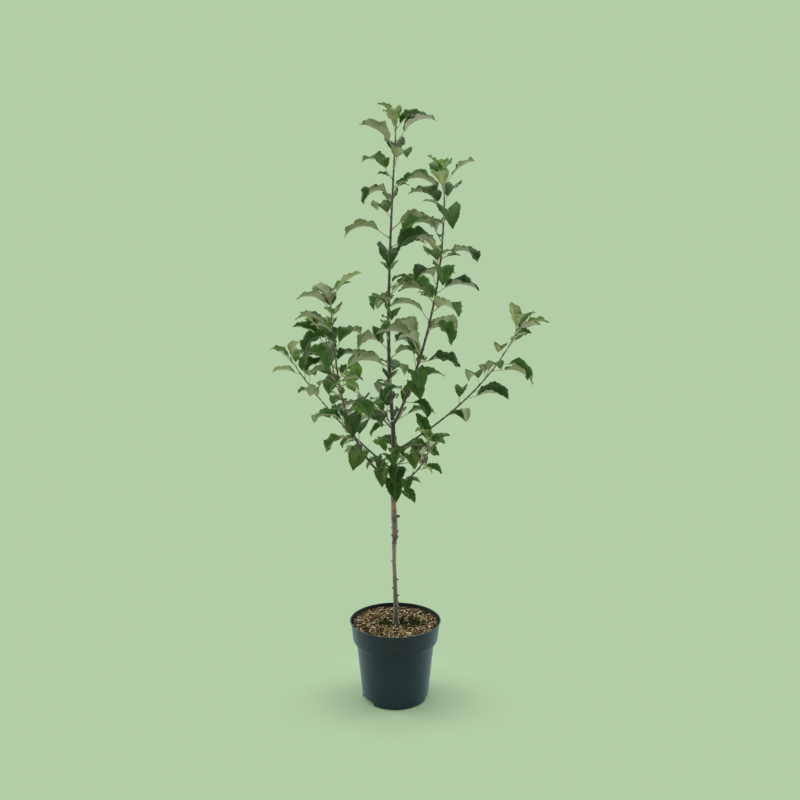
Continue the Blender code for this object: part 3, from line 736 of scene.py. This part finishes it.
def draw_leaf(heap, leaf, tone, rng):
    """A full blade: folded along its midrib, twisted, waved and toothed at its margin, thin and closed."""
    slices = LEAF_SLICES if leaf["length"] > SHORT_BLADE else LEAF_SLICES // 2
    stations = [station for station, _ in BLADE_OUTLINE]
    widths = [width for _, width in BLADE_OUTLINE]
    waves = rng.uniform(1.6, 3.4)
    scallops = 2 * math.pi * rng.uniform(7, 11)
    phases = (rng.uniform(0, 2 * math.pi), rng.uniform(0, 2 * math.pi))
    wave = rng.uniform(0.07, 0.18)
    twist = math.radians(rng.uniform(-26, 26))
    skew = rng.uniform(0.82, 1.22)
    half = BLADE_HALF_WIDTH * leaf["length"]
    top_points = []
    under_points = []
    for i, (station, centre, way, side, top) in enumerate(leaf_frames(leaf, slices, twist)):
        width = half * float(np.interp(station**skew, stations, widths))
        ends = min(1, 6 * station) * min(1, 8 * (1 - station))
        for u in LEAF_COLUMNS:
            out = abs(u)
            hand = 1 if u > 0 else -1
            fold = leaf["fold"] * (1 - 0.3 * out)
            reach = width * out
            ahead = 0
            reach *= 1 + SCALLOP * out**4 * ends * math.sin(scallops * station + phases[hand < 0])
            if out == 1:
                reach *= 1 + (TOOTH * ends if i % 2 else -TOOTH * ends)
                ahead = leaf["length"] / slices * 0.5 * ends if i % 2 else 0
            lift = reach * math.sin(fold)
            lift += half * wave * out**2 * ends * math.sin(waves * 2 * math.pi * station + phases[hand > 0])
            lift += half * RUFFLE * out**3 * ends * math.sin(0.7 * scallops * station + phases[hand > 0])
            pillow = abs(math.sin(math.pi * (SIDE_VEINS * station**0.9 - 2.6 * out)))
            lift += half * 0.018 * pillow * min(1, 4 * out) * (1 - out**4) * ends
            place = centre + side * (hand * reach * math.cos(fold)) + top * lift + way * ahead
            depth = BLADE_DEPTH * (1 + 1.8 * max(0, 1 - 5 * out) * (1 - station))
            top_points.append(place + top * (depth * 0.3))
            under_points.append(place - top * (depth * 0.7))
    slot = blade_slots(tone, rng)
    row = len(LEAF_COLUMNS)
    count = len(top_points)
    faces = []
    slots = []
    for i in range(slices):
        for j in range(row - 1):
            a = i * row + j
            across = (LEAF_COLUMNS[j] + LEAF_COLUMNS[j + 1]) / 2
            station = i / slices
            faces.append((a, a + row, a + row + 1, a + 1))
            slots.append(slot(station, across, 0))
            faces.append((count + a, count + a + 1, count + a + row + 1, count + a + row))
            slots.append(slot(station, across, 1))
        for a, b in ((i * row, (i + 1) * row), ((i + 1) * row + row - 1, i * row + row - 1)):
            faces.append((a, count + a, count + b, b))
            slots.append(3 * tone)
    for start, step in ((0, 1), (slices * row + row - 1, -1)):
        for j in range(row - 1):
            a = start + j * step
            faces.append((a, a + step, count + a + step, count + a))
            slots.append(3 * tone)
    heap.add(top_points + under_points, faces, slots)


def tube(heap, points, radii, sides, slot, rough=0.0, stretched=0.4):
    """A closed tube through the points. rough is the share of its radius that noise moves its skin by."""
    ring_points = []
    faces = []
    way = (points[1] - points[0]).normalized()
    side = way.cross(STEADY if abs(way.dot(STEADY)) < 0.9 else UP).normalized()
    for i, (point, radius) in enumerate(zip(points, radii)):
        if i:
            way = (points[min(i + 1, len(points) - 1)] - points[i - 1]).normalized()
            side = (side - way * side.dot(way)).normalized()
        other = way.cross(side)
        for j in range(sides):
            angle = 2 * math.pi * j / sides
            out = side * math.cos(angle) + other * math.sin(angle)
            reach = radius
            if rough:
                grain = (point + out * radius) * 420
                grain.z *= stretched
                reach *= 1 + rough * noise.noise(grain)
            ring_points.append(point + out * reach)
    for i in range(len(points) - 1):
        for j in range(sides):
            a = i * sides + j
            b = i * sides + (j + 1) % sides
            faces.append((a, b, b + sides, a + sides))
    last = (len(points) - 1) * sides
    faces.append(tuple(range(sides))[::-1])
    faces.append(tuple(range(last, last + sides)))
    if not callable(slot):
        heap.add(ring_points, faces, slot)
        return
    slots = [slot(ring_points[face[0]], i // sides / (len(points) - 1)) for i, face in enumerate(faces[:-2])]
    heap.add(ring_points, faces, slots + [slots[0], slots[-1]])


def draw_stalk(heap, leaf, slot):
    """A leaf's stalk, from inside its stem, in a slight bow, into the start of the midrib."""
    stout = 0.0008 * min(1.2, leaf["length"] / 0.06) + 0.0002
    frames = leaf_frames(leaf, 10)
    sag = direction(math.atan2(leaf["way"].y, leaf["way"].x), leaf["rise"] / 2) - leaf["way"]
    points = []
    for share in (0, 0.25, 0.5, 0.75, 1):
        bow = sag * (leaf["petiole"] * 0.25 * share * (1 - share))
        points.append(leaf["root"] + leaf["way"] * (leaf["petiole"] * share) + bow)
    radii = [stout * thick for thick in (1.5, 1.0, 0.85, 0.8, 0.9)]
    for station, thick in ((2, 0.6), (4, 0.4), (7, 0.2)):
        _, centre, _, _, top = frames[station]
        points.append(centre - top * 0.0003)
        radii.append(stout * thick)
    tube(heap, points, radii, 6, slot)


def draw_bud(heap, place, way, length, radius, slot):
    points = [place + way * length * share for share in (0, 0.3, 0.6, 0.85, 1)]
    tube(heap, points, [radius * thick for thick in (0.9, 1.15, 1.0, 0.55, 0.12)], 7, slot)


def grow_everything():
    """Works the plant out again by the source's rule: limbs, lines and settled leaves."""
    neighbours = Neighbours()
    for name in ["trunk"] + list(BOUGHS):
        neighbours.add_object(name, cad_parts[name])
    limbs = {}
    for name, bough in BOUGHS.items():
        limbs[name] = bough
        for side in sides_of(name):
            limbs[side] = SIDE_SHOOTS[side]
    lines = shoot_lines()
    for name, spur in SPURS.items():
        limbs[name] = dict(spur, swing=0, rise=(spur["rise"], spur["rise"] + 20), easing=1, radii=SPUR_RADII)
        lines[name] = bend_points(limbs[name], point_on_trunk(spur["height"]))
    for name, limb in limbs.items():
        start = limb["bare"] + GAP if name in BOUGHS else 0
        pieces = 5 if name in SIDE_SHOOTS else 3
        if name in BOUGHS:
            pieces = max(4, round((limb["length"] - start) / 0.030))
        heap = Heap()
        tube(heap, *stretch(limb, lines[name], start, limb["length"], pieces), 6, 0)
        neighbours.add(mass_of(name), [Vector(point) for point in heap.points], heap.faces)
    leaves = {}
    for name, limb in limbs.items():
        wanted = rosette_leaves(limb, lines[name]) if name in SPURS else shoot_leaves(limb, lines[name])
        leaves[name] = settle(wanted, mass_of(name), neighbours)
    return limbs, lines, leaves


def mass_of(name):
    """The node that holds the leaves of a bough, side shoot or spur."""
    return "leaves_" + (SIDE_SHOOTS[name]["on"] if name in SIDE_SHOOTS else name)


def tone_of(name, line, leaf, rng):
    """Which of the leaf tones a leaf has: by its distance from the shoot's tip, its size and chance."""
    left = (line[-1] - leaf["root"]).length
    if name in SPURS:
        wanted = ("dark", "dark", "deep", "moss", "fresh")
    elif left < 0.012:
        wanted = ("young", "fresh")
    elif left < 0.045:
        wanted = ("pale", "fresh", "deep")
    elif leaf["length"] < 0.037:
        wanted = ("blue", "blue", "deep", "fresh")
    else:
        wanted = ("dark", "dark", "dark", "deep", "deep", "moss", "moss", "deep")
    return list(LEAF_TONES).index(rng.choice(wanted))


def leaf_materials():
    made = []
    for tone, (top, inner, outer) in LEAF_TONES.items():
        made.append(surface(f"leaf_{tone}_top", top, 0.50, lighter(top, 1.28), 42, bump=0.25, gloss=0.17))
        # The outer underside colour is the painted shade by the margin
        for name, colour in (("inner", inner), ("outer", outer)):
            made.append(
                surface(f"leaf_{tone}_{name}", colour, 0.85, lighter(colour, 0.88), 90, bump=0.15, gloss=0.2)
            )
    made.append(surface("leaf_rib_top", RIB_TOP, 0.5, lighter(RIB_TOP, 0.85), 80))
    made.append(surface("leaf_rib_under", RIB_UNDER, 0.8, lighter(RIB_UNDER, 0.88), 80))
    return made


def shoot_bark(name, limb, line, leaves, materials, rng):
    """The bark of one limb and its shoot: thicker at each leaf, felted at the tip, with pale lenticels."""
    steps = max(12, round(limb["length"] / 0.0020))
    start = 0.002 if name == "leader" else 0.0
    points, radii = stretch(limb, line, start, limb["length"], steps)
    for i, point in enumerate(points):
        nearest = min((leaf["root"] - point).length for leaf in leaves)
        radii[i] *= 1 + SWELL * math.exp(-((nearest / SWELL_REACH) ** 2))
    shoot = "violet" if name in ("leader", "right_centre", "left_inner") else "brown"

    def slot(point, share):
        left = (1 - share) * limb["length"]
        if left + rng.uniform(-0.01, 0.01) < 0.030:
            return list(SHOOT_COLOURS).index("felt")
        if rng.random() < 0.02:
            return list(SHOOT_COLOURS).index("lenticel")
        return list(SHOOT_COLOURS).index(shoot)

    heap = Heap()
    tube(heap, points, radii, 14, slot, rough=0.12)
    return heap.make("bark_" + name, materials)


def dress_limbs():
    limbs, lines, leaves = grow_everything()
    blade_skins = leaf_materials()
    stalk_skins = [
        surface(name, colour, 0.6, lighter(colour, 1.15), 160) for name, colour in STALK_COLOURS.items()
    ]
    stalk_skins.append(surface("bud_scale", BUD_COLOUR, 0.6, lighter(BUD_COLOUR, 1.3), 500, bump=0.4))
    bark_skins = [
        surface("bark_" + name, colour, 0.55, lighter(colour, 1.3), 260, bump=0.4, stretch=(1, 1, 0.4))
        for name, colour in SHOOT_COLOURS.items()
    ]
    heaps = {mass_of(name): (Heap(), Heap()) for name in limbs}
    for name, limb in limbs.items():
        rng = random.Random("dress " + name)
        blades, stalks = heaps[mass_of(name)]
        for leaf in leaves[name]:
            draw_leaf(blades, leaf, tone_of(name, lines[name], leaf, rng), rng)
            draw_stalk(stalks, leaf, rng.choice((0, 0, 1)))
            if leaf["length"] > SHORT_BLADE:
                share = min(range(len(lines[name])), key=lambda i: (lines[name][i] - leaf["root"]).length)
                along_shoot = along(lines[name], share / BOUGH_POINTS)[1]
                bud_way = (along_shoot + leaf["way"] * 0.35).normalized()
                draw_bud(stalks, leaf["root"] + leaf["way"] * 0.0012, bud_way, 0.0054, 0.0011, 2)
        bark = shoot_bark(name, limb, lines[name], leaves[name], bark_skins, rng)
        dress(bark, "shoot_bark", *([name] if name in BOUGHS else []))
    for mass, (blades, stalks) in heaps.items():
        dress(blades.make("blades_of_" + mass, blade_skins), "foliage", mass)
        dress(stalks.make("stalks_of_" + mass, stalk_skins), "foliage", mass)


def dress_trunk():
    """The trunk's skin: relief, buds and bands of colour whose edges are ragged."""
    heights = np.array([z for _, z, _ in TRUNK_LINE])
    points = []
    radii = []
    for height in np.linspace(heights[0], heights[-1], 260):
        sideways_place = float(np.interp(height, heights, [x for x, _, _ in TRUNK_LINE]))
        points.append(Vector((sideways_place, 0, float(height))))
        radii.append(float(np.interp(height, heights, [radius for _, _, radius in TRUNK_LINE])))
    skins = []
    for i, (_, colour) in enumerate(TRUNK_BANDS):
        bark = surface(
            f"trunk_bark_{i + 1}", colour, 0.8, lighter(colour, 0.66), 230, bump=0.7, stretch=(1, 1, 0.22)
        )
        edge_light(bark, 1.0, 0.5, BARK_EDGE)
        skins.append(bark)
    skins.append(surface("trunk_bud", TRUNK_BUD_COLOUR, 0.8, lighter(TRUNK_BUD_COLOUR, 0.7), 400, bump=0.5))

    def slot(point, share):
        ragged = point.z + 0.0035 * noise.noise(point * 260) + 0.002 * noise.noise(point * 90)
        for i, (height, _) in enumerate(TRUNK_BANDS):
            if ragged < height:
                return i
        return len(TRUNK_BANDS) - 1

    def knob_slot(height, radius):
        """A wide knob is a swelling in the bark's own colour, a small one a dark bud."""
        return slot if radius > WIDE_KNOB else len(TRUNK_BANDS)

    heap = Heap()
    tube(heap, points, radii, 30, slot, rough=0.13, stretched=0.3)
    for height, bearing, length, radius in TRUNK_BUDS:
        if min(abs(height - knob[0]) for knob in KNOBS) < KNOB_CLEARANCE:
            continue
        way = direction(math.radians(bearing), math.radians(35))
        draw_bud(heap, point_on_trunk(height), way, length, radius * 1.3, len(TRUNK_BANDS))
    for height, bearing, length, radius in KNOBS:
        way = direction(math.radians(bearing), math.radians(8))
        points = [point_on_trunk(height) + way * (length - radius + radius * rise) for rise in KNOB_RISES]
        points.insert(0, point_on_trunk(height))
        radii = [radius * math.sqrt(1 - min(0.98, max(0, rise)) ** 2) for rise in KNOB_RISES]
        tube(heap, points, [radius * 1.2] + radii, 12, knob_slot(height, radius), rough=0.10)
    dress(heap.make("trunk_skin", skins), "trunk_bark", "trunk")


def rounded(before, corner, after):
    """A corner of the pot's profile, eased into a short curve."""
    corner = Vector(corner)
    start = corner + (Vector(before) - corner).normalized() * STEP_ROUND
    end = corner + (Vector(after) - corner).normalized() * STEP_ROUND
    return [tuple(start * (1 - t) ** 2 + corner * (2 * t * (1 - t)) + end * t**2) for t in (0, 0.25, 0.5, 0.75, 1)]


def pot_profile():
    """The pot's section from the floor's middle up its inside, over the rounded lip and down its outside."""
    band_top = (BAND_TOP_RADIUS, BAND_TOP_HEIGHT)
    band_foot = (BAND_FOOT_RADIUS, BAND_FOOT_HEIGHT)
    wall_top = (WALL_TOP_RADIUS, WALL_TOP_HEIGHT)
    wall_foot = (WALL_FOOT_RADIUS, WALL_FOOT_HEIGHT)
    wall_slope = (WALL_TOP_RADIUS - WALL_FOOT_RADIUS) / (WALL_TOP_HEIGHT - WALL_FOOT_HEIGHT)
    under_lip = POT_HEIGHT - LIP_HEIGHT
    floor_edge = WALL_FOOT_RADIUS - POT_WALL + wall_slope * (POT_FLOOR - WALL_FOOT_HEIGHT)
    inside = [(0, POT_FLOOR), (floor_edge - 0.002, POT_FLOOR), (floor_edge, POT_FLOOR + 0.002)]
    inside += [(radius - POT_WALL, height) for radius, height in (wall_top, band_foot, band_top)]
    lip = []
    middle = RIM_RADIUS - LIP_WIDTH / 2
    for i in range(9):
        angle = math.pi * (1 - i / 8)
        lip.append((middle + LIP_WIDTH / 2 * math.cos(angle), POT_HEIGHT - LIP_ROUND + LIP_ROUND * math.sin(angle)))
    outside = [(RIM_RADIUS - 0.0003, under_lip), (BAND_TOP_RADIUS + 0.0006, BAND_TOP_HEIGHT + 0.0001), band_top]
    outside += rounded(band_top, band_foot, wall_top) + rounded(band_foot, wall_top, wall_foot)
    outside += [wall_foot, (WALL_FOOT_RADIUS - 0.0004, 0.0018), (FOOT_RADIUS, 0.0003), (FOOT_RADIUS - 0.0006, 0), (0, 0)]
    return inside + lip + outside


def dress_pot():
    """A finely turned pot with a rounded lip and a stepped band, cut with the part's drain notches."""
    mesh = bpy.data.meshes.new("pot_shell")
    profile = pot_profile()
    mesh.from_pydata([(r, 0, z) for r, z in profile], [(i, i + 1) for i in range(len(profile) - 1)], [])
    work = bmesh.new()
    work.from_mesh(mesh)
    bmesh.ops.spin(
        work, geom=work.verts[:] + work.edges[:], axis=UP, cent=(0, 0, 0),
        angle=2 * math.pi, steps=POT_SEGMENTS, use_merge=True,
    )
    bmesh.ops.remove_doubles(work, verts=work.verts, dist=1e-6)
    bmesh.ops.recalc_face_normals(work, faces=work.faces)
    work.to_mesh(mesh)
    work.free()
    pot = bpy.data.objects.new("pot_shell", mesh)
    bpy.context.scene.collection.objects.link(pot)
    for bearing in NOTCH_BEARINGS:
        depth = FOOT_RADIUS - NOTCH_INNER_RADIUS + 0.010
        turn = math.radians(bearing)
        middle = NOTCH_INNER_RADIUS + depth / 2
        bpy.ops.mesh.primitive_cube_add(size=1)
        cutter = bpy.context.object
        cutter.location = (middle * math.sin(turn), -middle * math.cos(turn), 0)
        cutter.rotation_euler = (0, 0, turn)
        cutter.scale = (NOTCH_WIDTH, depth, 2 * NOTCH_HEIGHT)
        cut = pot.modifiers.new("notch", "BOOLEAN")
        cut.operation = "DIFFERENCE"
        cut.solver = "EXACT"
        cut.object = cutter
        bpy.context.view_layer.update()
        cut_mesh = bpy.data.meshes.new_from_object(pot.evaluated_get(bpy.context.evaluated_depsgraph_get()))
        pot.modifiers.clear()
        pot.data = cut_mesh
        bpy.data.objects.remove(cutter, do_unlink=True)
    pot.data.materials.clear()
    plastics = (
        ("pot_plastic", POT_COLOUR, 0.47, 0.26),
        ("pot_step_painted_shading", STEP_PAINTED_SHADING_COLOUR, 0.22, 0.07),
        ("pot_rim_painted_highlight", LIP_HIGHLIGHT_COLOUR, 0.47, 0.26),
    )
    for name, colour, felt, gloss in plastics:
        plastic = surface(name, colour, 0.40, lighter(colour, 1.12), 22, bump=0.12, bump_scale=900, gloss=gloss)
        edge_light(plastic, felt, 0.4, POT_EDGE)
        pot.data.materials.append(plastic)
    pot.data.materials.append(
        surface("pot_inside_painted_shade", INSIDE_SHADE_COLOUR, 0.6, lighter(INSIDE_SHADE_COLOUR, 1.3), 60, bump=0.2, gloss=0.1)
    )
    for face in pot.data.polygons:
        outwards = Vector((face.center.x, face.center.y, 0)).normalized()
        # Faces looking inwards take the darker plastic, painted shade inside the pot
        if face.center.z > POT_FLOOR and face.normal.dot(outwards) < INSIDE_FACING:
            face.material_index = 3
        # The top of the lip takes the lighter plastic, a painted highlight
        elif face.center.z > POT_HEIGHT - LIP_ROUND:
            face.material_index = 2
        # Down-facing faces take the step's plastic with its painted light
        elif face.center.z > POT_FLOOR and face.normal.z < STEP_FACING:
            face.material_index = 1
    pot.data.shade_smooth()
    pot.data.set_sharp_from_angle(angle=math.radians(50))
    dress(pot, "pot_plastic", "pot")


def bed_height(x, y):
    """The mulch's height: low round the trunk, higher by the wall, uneven all over."""
    share = min(1, math.hypot(x, y) / (BAND_TOP_RADIUS - POT_WALL))
    return BED_FOOT + (BED_EDGE - BED_FOOT) * share**2.5 + BED_BUMPS * noise.noise(Vector((x, y, 0)) * 150)


def mulch_bed():
    """The compost between the chips, out to the pot's wall."""
    edge = BAND_TOP_RADIUS - POT_WALL - 0.0004
    slope = (BAND_TOP_RADIUS - BAND_FOOT_RADIUS) / (BAND_TOP_HEIGHT - BAND_FOOT_HEIGHT)
    edge -= slope * (BAND_TOP_HEIGHT - BED_EDGE)
    heap = Heap()
    points = [Vector((0, 0, BED_FOOT))]
    faces = [(0, 1 + j, 1 + (j + 1) % BED_SPOKES) for j in range(BED_SPOKES)]
    for i in range(1, BED_RINGS + 1):
        for j in range(BED_SPOKES):
            angle = 2 * math.pi * j / BED_SPOKES
            x = edge * i / BED_RINGS * math.cos(angle)
            y = edge * i / BED_RINGS * math.sin(angle)
            points.append(Vector((x, y, bed_height(x, y))))
    for i in range(BED_RINGS - 1):
        for j in range(BED_SPOKES):
            a = 1 + i * BED_SPOKES + j
            b = 1 + i * BED_SPOKES + (j + 1) % BED_SPOKES
            faces.append((a, a + BED_SPOKES, b + BED_SPOKES, b))
    heap.add(points, faces, 0)
    compost = surface("compost", (26, 22, 13), 0.95, (58, 49, 30), 260, bump=1.0, bump_scale=420)
    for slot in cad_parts["soil"].material_slots:
        slot.material = compost
    dress(heap.make("mulch_bed", [compost]), "bark_mulch")


def draw_chip(heap, centre, long_side, rng, slot):
    """A flat splinter with an uneven outline, lying at a slight tilt."""
    wide_side = long_side * rng.uniform(0.08, 0.20)
    thick = rng.uniform(0.0003, 0.0010)
    spin = Quaternion(UP, rng.uniform(0, 2 * math.pi))
    spin = spin @ Quaternion(Vector((1, 0, 0)), rng.gauss(0, 0.40)) @ Quaternion(STEADY, rng.gauss(0, 0.30))
    points = []
    for z in (-thick, thick):
        for k in range(6):
            angle = math.pi * k / 3
            points.append(centre + spin @ Vector((
                long_side * 0.5 * math.cos(angle) * rng.uniform(0.7, 1.15),
                wide_side * 0.5 * math.sin(angle) * rng.uniform(0.7, 1.15),
                z * rng.uniform(0.6, 1.2),
            )))
    faces = [(5, 4, 3, 2, 1, 0), (6, 7, 8, 9, 10, 11)]
    faces += [(k, (k + 1) % 6, 6 + (k + 1) % 6, 6 + k) for k in range(6)]
    heap.add(points, faces, slot)


def in_moss(x, y):
    spread = Vector(((x - MOSS_CENTRE.x) / MOSS_REACH.x, (y - MOSS_CENTRE.y) / MOSS_REACH.y))
    return spread.length + 0.35 * noise.noise(Vector((x, y, 0)) * 130) < 1


def mulch_chips():
    rng = random.Random(5)
    names = list(CHIP_COLOURS)
    skins = [
        surface("chip_" + name, colour, 0.9, lighter(colour, 0.72), 420, bump=0.6, bump_scale=700, gloss=0.1)
        for name, colour in CHIP_COLOURS.items()
    ]
    heap = Heap()
    for _ in range(CHIPS):
        long_side = rng.uniform(*(CHIP_LENGTHS if rng.random() < 0.88 else LONG_CHIP_LENGTHS))
        reach = (BAND_TOP_RADIUS - POT_WALL - 0.0008 - long_side / 2) * math.sqrt(rng.random())
        turn = rng.uniform(0, 2 * math.pi)
        x = reach * math.cos(turn)
        y = reach * math.sin(turn)
        clear_of_trunk = math.hypot(x - TRUNK_LINE[0][0], y) > TRUNK_LINE[0][2] + long_side / 2
        if not clear_of_trunk or (in_moss(x, y) and rng.random() < 0.85):
            continue
        centre = Vector((x, y, bed_height(x, y) + rng.uniform(0, 0.0020)))
        draw_chip(heap, centre, long_side, rng, names.index(rng.choice(CHIP_MIX)))
    dress(heap.make("mulch_chips", skins, flat=True), "bark_mulch")


def moss():
    """Small dark tufts round the trunk's foot."""
    rng = random.Random(11)
    skins = [
        surface(name, colour, 0.95, lighter(colour, 1.4), 500, bump=0.6, bump_scale=900, gloss=0.1)
        for name, colour in MOSS_COLOURS.items()
    ]
    heap = Heap()
    made = 0
    while made < MOSS_TUFTS:
        x = MOSS_CENTRE.x + MOSS_REACH.x * rng.uniform(-1.2, 1.2)
        y = MOSS_CENTRE.y + MOSS_REACH.y * rng.uniform(-1.2, 1.2)
        if not in_moss(x, y) or math.hypot(x - TRUNK_LINE[0][0], y) < TRUNK_LINE[0][2] + 0.0004:
            continue
        made += 1
        slot = 1 if rng.random() < 0.22 else 0
        foot = Vector((x, y, bed_height(x, y) - 0.0004))
        for _ in range(5):
            way = Vector((rng.gauss(0, 0.5), rng.gauss(0, 0.5), 1)).normalized()
            length = rng.uniform(0.0012, 0.0026)
            points = [foot, foot + way * length * 0.5, foot + way * length]
            tube(heap, points, [0.0005, 0.0004, 0.0001], 4, slot)
    dress(heap.make("moss", skins), "bark_mulch")


def camera_blend(tree, seen, bounced):
    """A colour that is one thing for the camera and another for the light that bounces."""
    path = node(tree, "ShaderNodeLightPath")
    blend = node(tree, "ShaderNodeMix", data_type="RGBA")
    tree.links.new(path.outputs["Is Camera Ray"], blend.inputs["Factor"])
    blend.inputs[6].default_value = (*bounced, 1)
    blend.inputs[7].default_value = (*seen, 1)
    return blend.outputs[2]


def stage_floor():
    """A pale floor that melts into the backdrop away from the pot."""
    bpy.ops.mesh.primitive_plane_add(size=24)
    floor = bpy.context.object
    floor.name = "studio_floor"
    made = bpy.data.materials.new("studio_floor")
    made.use_nodes = True
    tree = made.node_tree
    shader = tree.nodes["Principled BSDF"]
    shader.inputs["Roughness"].default_value = 1.0
    shader.inputs["Specular IOR Level"].default_value = 0.0
    glow = node(tree, "ShaderNodeEmission", Strength=1.0)
    place = node(tree, "ShaderNodeTexCoord")
    reach = node(tree, "ShaderNodeVectorMath", operation="LENGTH")
    fade = node(tree, "ShaderNodeMapRange", interpolation_type="SMOOTHSTEP")
    fade.inputs["From Min"].default_value = FLOOR_FADE[0]
    fade.inputs["From Max"].default_value = FLOOR_FADE[1]
    blend = node(tree, "ShaderNodeMixShader")
    tree.links.new(camera_blend(tree, srgb(FLOOR_COLOUR), FLOOR_BOUNCE), shader.inputs["Base Color"])
    tree.links.new(camera_blend(tree, srgb(BACKDROP), FLOOR_BOUNCE), glow.inputs["Color"])
    tree.links.new(place.outputs["Object"], reach.inputs[0])
    tree.links.new(reach.outputs["Value"], fade.inputs["Value"])
    tree.links.new(fade.outputs["Result"], blend.inputs["Fac"])
    tree.links.new(shader.outputs["BSDF"], blend.inputs[1])
    tree.links.new(glow.outputs["Emission"], blend.inputs[2])
    tree.links.new(blend.outputs["Shader"], tree.nodes["Material Output"].inputs["Surface"])
    floor.data.materials.append(made)


def stage_world():
    """Even neutral light from all round, with the backdrop's colour where the camera looks."""
    world = bpy.data.worlds.new("studio")
    bpy.context.scene.world = world
    world.use_nodes = True
    tree = world.node_tree
    background = tree.nodes["Background"]
    background.inputs["Color"].default_value = (1.0, 1.0, 1.0, 1)
    background.inputs["Strength"].default_value = WORLD_LIGHT
    seen = node(tree, "ShaderNodeBackground", Color=(*srgb(BACKDROP), 1), Strength=1.0)
    path = node(tree, "ShaderNodeLightPath")
    blend = node(tree, "ShaderNodeMixShader")
    tree.links.new(path.outputs["Is Camera Ray"], blend.inputs["Fac"])
    tree.links.new(background.outputs["Background"], blend.inputs[1])
    tree.links.new(seen.outputs["Background"], blend.inputs[2])
    tree.links.new(blend.outputs["Shader"], tree.nodes["World Output"].inputs["Surface"])


def sun(name, bearing, height, spread, strength):
    """A wide soft lamp, far off. bearing is from the front towards +X, height above level, in degrees."""
    light = bpy.data.lights.new(name, "SUN")
    light.energy = strength
    light.angle = math.radians(spread)
    obj = bpy.data.objects.new(name, light)
    turn = math.radians(bearing)
    rise = math.radians(height)
    from_way = Vector((math.sin(turn) * math.cos(rise), -math.cos(turn) * math.cos(rise), math.sin(rise)))
    obj.rotation_euler = from_way.to_track_quat("Z", "Y").to_euler()
    bpy.context.scene.collection.objects.link(obj)


def stage_camera():
    camera = bpy.data.cameras.new("camera")
    camera.sensor_width = SENSOR
    camera.lens = SENSOR * FOCAL_PIXELS / PICTURE_SIZE
    holder = bpy.data.objects.new("camera", camera)
    holder.location = CAMERA_PLACE
    holder.rotation_euler = (math.radians(90 - CAMERA_PITCH), 0, 0)
    bpy.context.scene.collection.objects.link(holder)
    bpy.context.scene.camera = holder


dress_limbs()
dress_trunk()
dress_pot()
mulch_bed()
mulch_chips()
moss()
stage_floor()
stage_world()
for lamp in SUNS:
    sun(*lamp)
stage_camera()
bpy.context.scene.view_settings.view_transform = "Standard"
